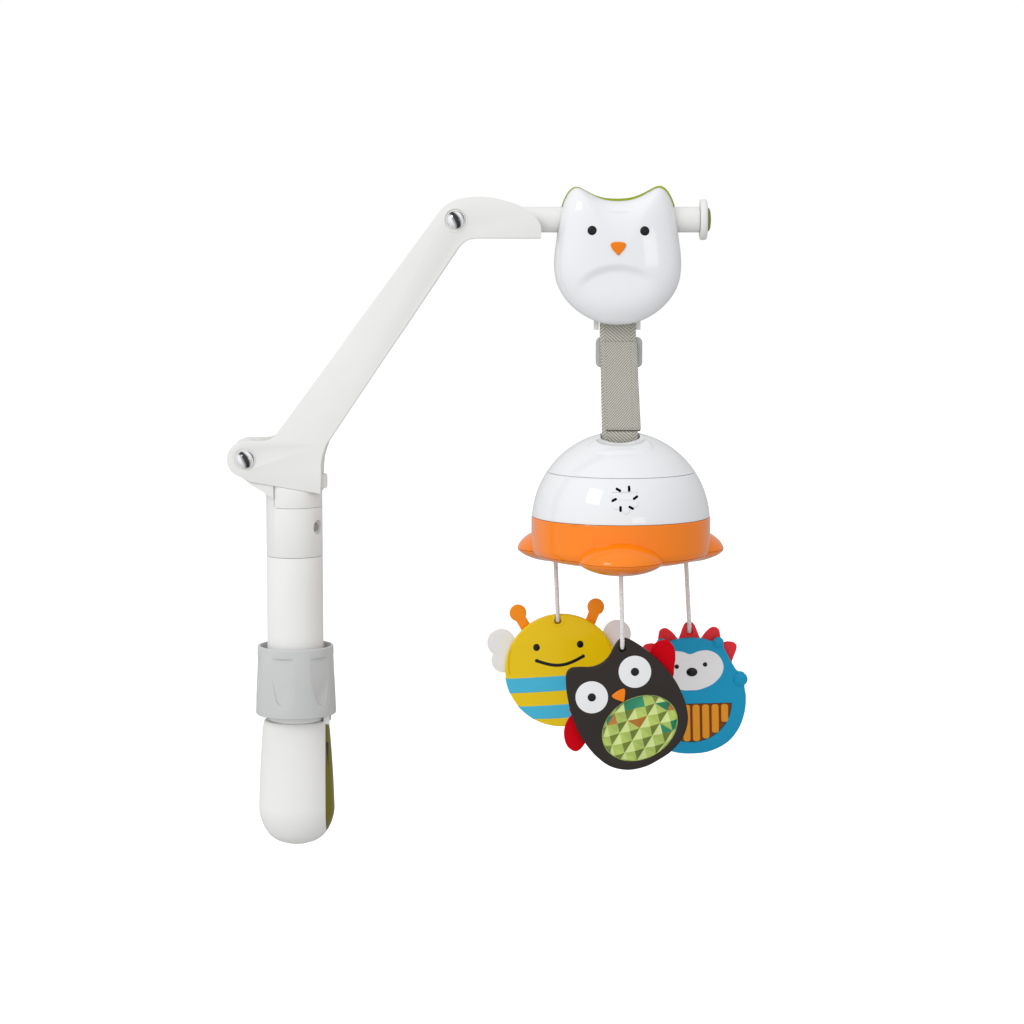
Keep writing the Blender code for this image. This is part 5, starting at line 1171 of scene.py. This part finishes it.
def build_bee():
    toy = Toy("bee", 2, (0.0, 46.5), 129.0, 2.4, 4.5)
    body = toy.disc("bee_disc", circle((0, 0), 52.0, 160, 1.008), YELLOW)
    toy.groove(body, 14)
    rim = stroke("rim", arc((0, 47.3), 5.6, 200, 340, 20), 1.4, 0.5, YELLOW)
    for side in (-1, 1):
        path = [(side * a, b) for a, b in flowing([(43.5, 27.5), (46.4, 19), (47.9, 8), (47.5, 0)], 6, closed=False)]
        cut(body, stroke("cutter", path, 1.7, 1.0, YELLOW))
    toy.put(rim, "bee_yellow")
    toy.put(body, "bee_yellow", "bee_body")
    for number, levels in enumerate(((-3.0, -18.0), (-29.8, -43.6))):
        band = plate(f"bee_stripe_{number + 1}", [stripe(*levels)], FRONT - 0.3, TOY_HALF + 0.3, SKY, rounding=1.4,
                     segments=4)
        toy.put(band, "bee_yellow")
    smile = [(-22.2 + 43.0 * i / 20, 11.0 - 6.2 * sin(pi * i / 20) + 0.9 * i / 20) for i in range(21)]
    toy.put(stroke("bee_smile", smile, 3.0, 0.4, BLACK), "black_plastic")
    toy.beads("bee_dimple", (smile[0], smile[-1]), 1.7, 0.45)
    toy.beads("bee_eye", ((-21.4, 23.4), (18.9, 23.2)), 3.1, 0.7, squash=1.1)
    lobes = [circle((side * x, z), r, 72) for side in (-1, 1) for x, z, r in ((53.5, 29, 13.0), (52.6, 12.5, 11.5))]
    wings = behind("bee_wing_sheet", rectangle(-46, 46, 8, 30, 3), lobes, 2, WING, [0.5] + [0.6] * 4)
    toy.put(wings, "bee_wing_plastic", "bee_wings")
    parts = []
    for side in (-1, 1):
        neck = [(side * a, b) for a, b in ((22.5, 37.5), (31.8, 34.5), (40.4, 52.4), (31.6, 56.6))]
        parts += [rounded(neck, 2.0), circle((side * 36, 55.5), 7.8, 64)]
    feelers = behind("bee_feelers", rectangle(-30, 30, 36, 42, 2), parts, 3.5, FEELER, [0.8] + [0.9, 1.2] * 2)
    toy.put(feelers, "bee_orange", "bee_antennae")
    toy.string()


def build_owl():
    toy = Toy("owl", 0, (23.4, 44.8), 120.6, 1.6, 31.0)
    half_owl = [(0, 42.5), (9, 44.3), (17.5, 49.3), (25, 52.6), (30.6, 50.6), (35.4, 43.6), (40.8, 31.8), (45.6, 17),
                (48.3, 1), (48.4, -13), (45.8, -28), (39.8, -41.5), (28.5, -51.8), (14, -57.2), (0, -58.2)]
    body = toy.disc("owl_disc", flowing(mirrored(half_owl), 8), CHARCOAL)
    toy.groove(body, 16)
    punch(body, circle((0, GEM_Z), 35.8, 96, 27.8 / 35.8), FRONT - 1, -0.6)
    soften(body, 0.35, 2, 50)
    toy.put(body, "owl_charcoal", "owl_body")
    for number, x in enumerate((-22.2, 22.2)):
        white = circle((x, 21), 14.4, 96)
        white = plate(f"owl_eye_white_{number + 1}", [white], FRONT - 0.4, FRONT + 0.5, TOY_WHITE, rounding=0.3)
        toy.put(white, "bee_wing_plastic")
        toy.put(bead(f"owl_pupil_{number + 1}", x, 21, 3.7, 0.9, BLACK, 0.4), "black_plastic")
    beak = flowing(mirrored([(0, 3.2), (3.0, 6.2), (6.0, 10.2), (6.3, 13.0), (3.4, 14.0), (0, 14.2)]), 6)
    beak = plate("owl_toy_beak", [beak], FRONT - 1.4, FRONT + 0.5, BEAK_ORANGE, rounding=0.9, segments=4)
    toy.put(beak, "orange_plastic")
    toy.put(gem(), "owl_gem", "owl_belly", angle=8)
    right = [(36, 20), (44, 29), (50.5, 32.5), (57.5, 31.5), (62, 27), (62.5, 19.5), (59, 12), (54, 5.5), (48, -2),
             (38, -4)]
    left = [(-36, 16), (-46, 15.5), (-55, 11), (-61.5, 3), (-64, -7), (-60.5, -14.5), (-54, -15), (-46, -11), (-38, -6)]
    leaves = [flowing(leaf, 8) for leaf in (right, left)]
    cloth = behind("owl_wing_cloth", rectangle(-46, 46, -2, 22, 3), leaves, 2, CLOTH, [0.6, 0.7, 0.7])
    toy.put(cloth, "red_fabric", "owl_wings")
    toy.string()


GEM_Z, GEM_LOW = -25, -1.7               # middle of the owl's gem, and the foot of its pyramids


def gem():
    """Oval belly of small pyramids, whose facets are tinted by the way they face and by where they lie. The tint by
    facing is painted light and shade: lighter on facets that face up, darker on those that face down. Green and amber
    facets come more often towards the upper right.
    """
    pitch, height = 13.0, 3.0
    made = plate("owl_gem_belly", [circle((0, GEM_Z), 35.5, 96, 27.5 / 35.5)], -1.6, -0.9, GEM_LIME)
    for finish in (GEM_LIT_FACET, GEM_SHADED_FACET, GEM_GREEN, GEM_AMBER):
        made.data.materials.append(finish)
    shape = bmesh.new()
    shape.from_mesh(made.data)
    turn = radians(28)
    span = range(-5, 6)

    def corner(i, j):
        u, v = i * pitch / 2, j * pitch / 2
        return Vector((u * cos(turn) - v * sin(turn), 0, GEM_Z + u * sin(turn) + v * cos(turn)))

    def held(point, level):
        dx, dz = point.x / 35.0, (point.z - GEM_Z) / 27.0
        size = hypot(dx, dz)
        if size > 1:
            point = Vector((point.x / size, 0, GEM_Z + (point.z - GEM_Z) / size))
            level = GEM_LOW
        return Vector((point.x, level, point.z)) * MM

    for i in span:
        for j in span:
            tip = corner(2 * i + 1, 2 * j + 1)
            if hypot(tip.x / 40, (tip.z - GEM_Z) / 32) > 1.05:
                continue
            feet = [corner(2 * i, 2 * j), corner(2 * i + 2, 2 * j), corner(2 * i + 2, 2 * j + 2),
                    corner(2 * i, 2 * j + 2)]
            top = shape.verts.new(held(tip, GEM_LOW - height))
            ring = [shape.verts.new(held(foot, GEM_LOW)) for foot in feet]
            for k in range(4):
                face = shape.faces.new((ring[k], ring[(k + 1) % 4], top))
                # painted light and shade: the facet facing up takes the lighter copy of the lime, the one facing down
                # the darker copy, the two sides the plain lime
                face.material_index = (2, 0, 1, 0)[k]
                share = (tip.x * 0.5 + tip.z - GEM_Z) / 34 + 0.32
                pick = (i * 7 + j * 13 + k * 5) % 11 / 11
                if share > pick and (i + 2 * j + k) % 3 == 0:
                    face.material_index = 3 if (i + j) % 3 else 4
    bmesh.ops.remove_doubles(shape, verts=shape.verts, dist=1e-5)
    bmesh.ops.dissolve_degenerate(shape, edges=shape.edges, dist=1e-6)
    shape.normal_update()
    for face in shape.faces:
        depth = face.calc_center_median().y
        if face.normal.y > 0 and depth < -1.65 * MM:
            face.normal_flip()
    shape.to_mesh(made.data)
    shape.free()
    return made


def half_disc(z, width, height):
    """A half ellipse below a level, with rounded corners."""
    return rounded([(width * x, z + height * y) for x, y in arc((0, 0), 1, 0, -180, 60)], 3.0)


def build_hedgehog():
    toy = Toy("hedgehog", 1, (0.0, 58.6), 119.4, 3.8, 1.5)
    spike_half, spike_depth = 1.75, 2.2
    toy.hang(spike_depth - spike_half - GAP - TOY_HALF)
    half_hog = [(0, 53.8), (12, 52.8), (21, 50.4), (25.5, 53.6), (30.2, 50.6), (31.5, 43.5), (38.5, 29.5), (43.0, 22.2),
                (49.0, 20.2), (51.0, 14), (49.4, 8.5), (50.6, -3), (49.0, -17), (43.5, -31.5), (33, -44), (17, -52),
                (0, -54)]
    body = toy.disc("hedgehog_disc", flowing(mirrored(half_hog), 8), BLUE)
    punch(body, half_disc(-7, 37.4, 36.2), FRONT - 1, -0.6)
    soften(body, 0.3, 2, 50)
    toy.put(body, "hedgehog_blue", "hedgehog_body")
    for number, (x, z, r) in enumerate(((26.0, 49.2, 5.0), (-26.0, 49.2, 5.0), (45.6, 14.6, 6.6), (-45.6, 14.6, 6.6))):
        toy.put(bead(f"hedgehog_bump_{number + 1}", x, z, r, 1.8, BLUE), "hedgehog_blue")
    half_face = [(0, 39.0), (8, 41.6), (17, 42.0), (25.5, 37.6), (30.2, 28.5), (28.5, 19.5), (20.5, 11.0), (8.5, 6.0),
                 (0, 5.4)]
    face = plate("hedgehog_face", [flowing(mirrored(half_face), 6)], FRONT - 0.5, FRONT + 0.5, TOY_WHITE, rounding=0.4)
    toy.put(face, "bee_wing_plastic")
    toy.beads("hedgehog_eye", ((-12.6, 27.8), (13.4, 29.2)), 2.1, 0.5, 0.5)
    toy.put(bead("hedgehog_nose", 1.2, 22.4, 5.1, 1.2, BLACK, 0.5, 0.8), "black_plastic")
    # painted shade: a dark amber plate behind the ribs fills the gaps between them
    gap_shade_plate = plate("hedgehog_belly_plate", [half_disc(-7.5, 36.9, 35.2)], -1.6, -0.9, RIB_GAP_SHADE)
    toy.put(gap_shade_plate, "hedgehog_amber", "hedgehog_belly")
    for number in range(8):
        x = -30.6 + 8.75 * number
        deep = 35.0 * sqrt(max(0.0, 1 - (abs(x) + 1.2) ** 2 / 36.6 ** 2))
        rib = rectangle(x - 3.4, x + 3.4, -8.0 - deep, -8.0, min(2.6, deep / 2 - 0.1))
        toy.put(plate(f"hedgehog_rib_{number + 1}", [rib], -3.4, -1.4, RIB_PALE, rounding=1.2, segments=5),
                "hedgehog_amber")
    half_spikes = [(0, 67.6), (4.6, 65.4), (8.8, 55.0), (10.6, 52.5), (15.5, 58.4), (21.5, 62.4), (27, 60.4),
                   (28.6, 54), (29.6, 48), (35, 48.6), (41, 47.4), (43.4, 43.6), (41, 36), (34, 22), (16, 10), (0, 8)]
    spikes = plate("hedgehog_spike_sheet", [flowing(mirrored(half_spikes), 8)], -spike_half, spike_half, RED,
                   rounding=0.9, segments=4)
    toy.groove(spikes, 14, -spike_half, 0.9, spike_half)
    toy.hang(spike_depth)
    toy.put(spikes, "hedgehog_red", "hedgehog_spikes")
    toy.string()


# ---- hidden pieces keep their CAD shape
HIDDEN = {
    STEEL: "jaw_pin jaw_spring post_screw latch_spring clip_pin clip_spring rotor_axle motor",
    NYLON: "thrust_ring chassis motor_pinion bee_bead owl_bead hedgehog_bead",
    RUBBER: "jaw_pad clip_rear_grip clip_front_grip",
    BLACK: "speaker", BOARD: "circuit_board", CELL: "battery_1 battery_2",
}


def finish_hidden():
    for finish, nodes in HIDDEN.items():
        for node in nodes.split():
            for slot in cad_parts[node].material_slots:
                slot.material = finish


# ---- studio
def area_light(name, place, size, power):
    data = bpy.data.lights.new(name, "AREA")
    data.shape = "RECTANGLE"
    data.size, data.size_y = size
    data.energy = power
    light = bpy.data.objects.new(name, data)
    light.location = place
    light.rotation_euler = (Vector((0.15, 0, 0.25)) - Vector(place)).to_track_quat("-Z", "Y").to_euler()
    bpy.context.scene.collection.objects.link(light)


def build_studio():
    camera = bpy.data.cameras.new("camera")
    camera.sensor_width = 36.0
    camera.lens = 98.8
    camera.clip_end = 50.0
    view = bpy.data.objects.new("camera", camera)
    view.location = (0.1685, -2.514, 0.518)
    view.rotation_euler = (radians(90 - 6.43), 0, 0)
    bpy.context.scene.collection.objects.link(view)
    bpy.context.scene.camera = view

    floor = plate("studio_floor", [circle((0, 0), 14000, 64)], -320, -318, plane="XY")
    ground = Nodes("studio_white", Roughness=0.9, Specular_IOR_Level=0.0, Emission_Color=grey(1.0),
                   Emission_Strength=0.42)
    ground.ramp("Base Color", ground.noise(2.0), grey(0.88), grey(0.90))
    floor.data.materials.clear()
    floor.data.materials.append(ground.material)
    floor.visible_diffuse = False
    floor.visible_glossy = False

    world = bpy.data.worlds.new("studio")
    world.use_nodes = True
    tree = world.node_tree
    background = tree.nodes["Background"]
    coords, toward, shade, rays, pick = (tree.nodes.new("ShaderNode" + kind)
                                         for kind in ("TexCoord", "VectorMath", "MapRange", "LightPath", "Mix"))
    toward.operation = "DOT_PRODUCT"
    toward.inputs[1].default_value = Vector((-0.45, -0.55, 0.70)).normalized()
    for key, value in (("From Min", -0.9), ("From Max", 1.0), ("To Min", SKY_LOW), ("To Max", SKY_HIGH)):
        shade.inputs[key].default_value = value
    pick.inputs["B"].default_value = 1.0     # white to the camera
    for out, into in ((coords.outputs["Generated"], toward.inputs[0]),
                      (toward.outputs["Value"], shade.inputs["Value"]),
                      (rays.outputs["Is Camera Ray"], pick.inputs["Factor"]),
                      (shade.outputs["Result"], pick.inputs["A"]),
                      (pick.outputs["Result"], background.inputs["Strength"])):
        tree.links.new(out, into)
    background.inputs["Color"].default_value = (1, 1, 1, 1)
    bpy.context.scene.world = world
    bpy.context.scene.view_settings.view_transform = "Standard"
    area_light("key", (-1.5, -1.9, 2.0), (0.9, 0.9), 17)
    area_light("window", (1.1, -2.2, 0.5), (0.7, 0.35), 1.0)


for build in (build_studio, build_clamp, build_post, build_arm, build_rod, build_clip, build_strap, build_dome,
              build_rotor, build_bee, build_owl, build_hedgehog, finish_hidden):
    build()
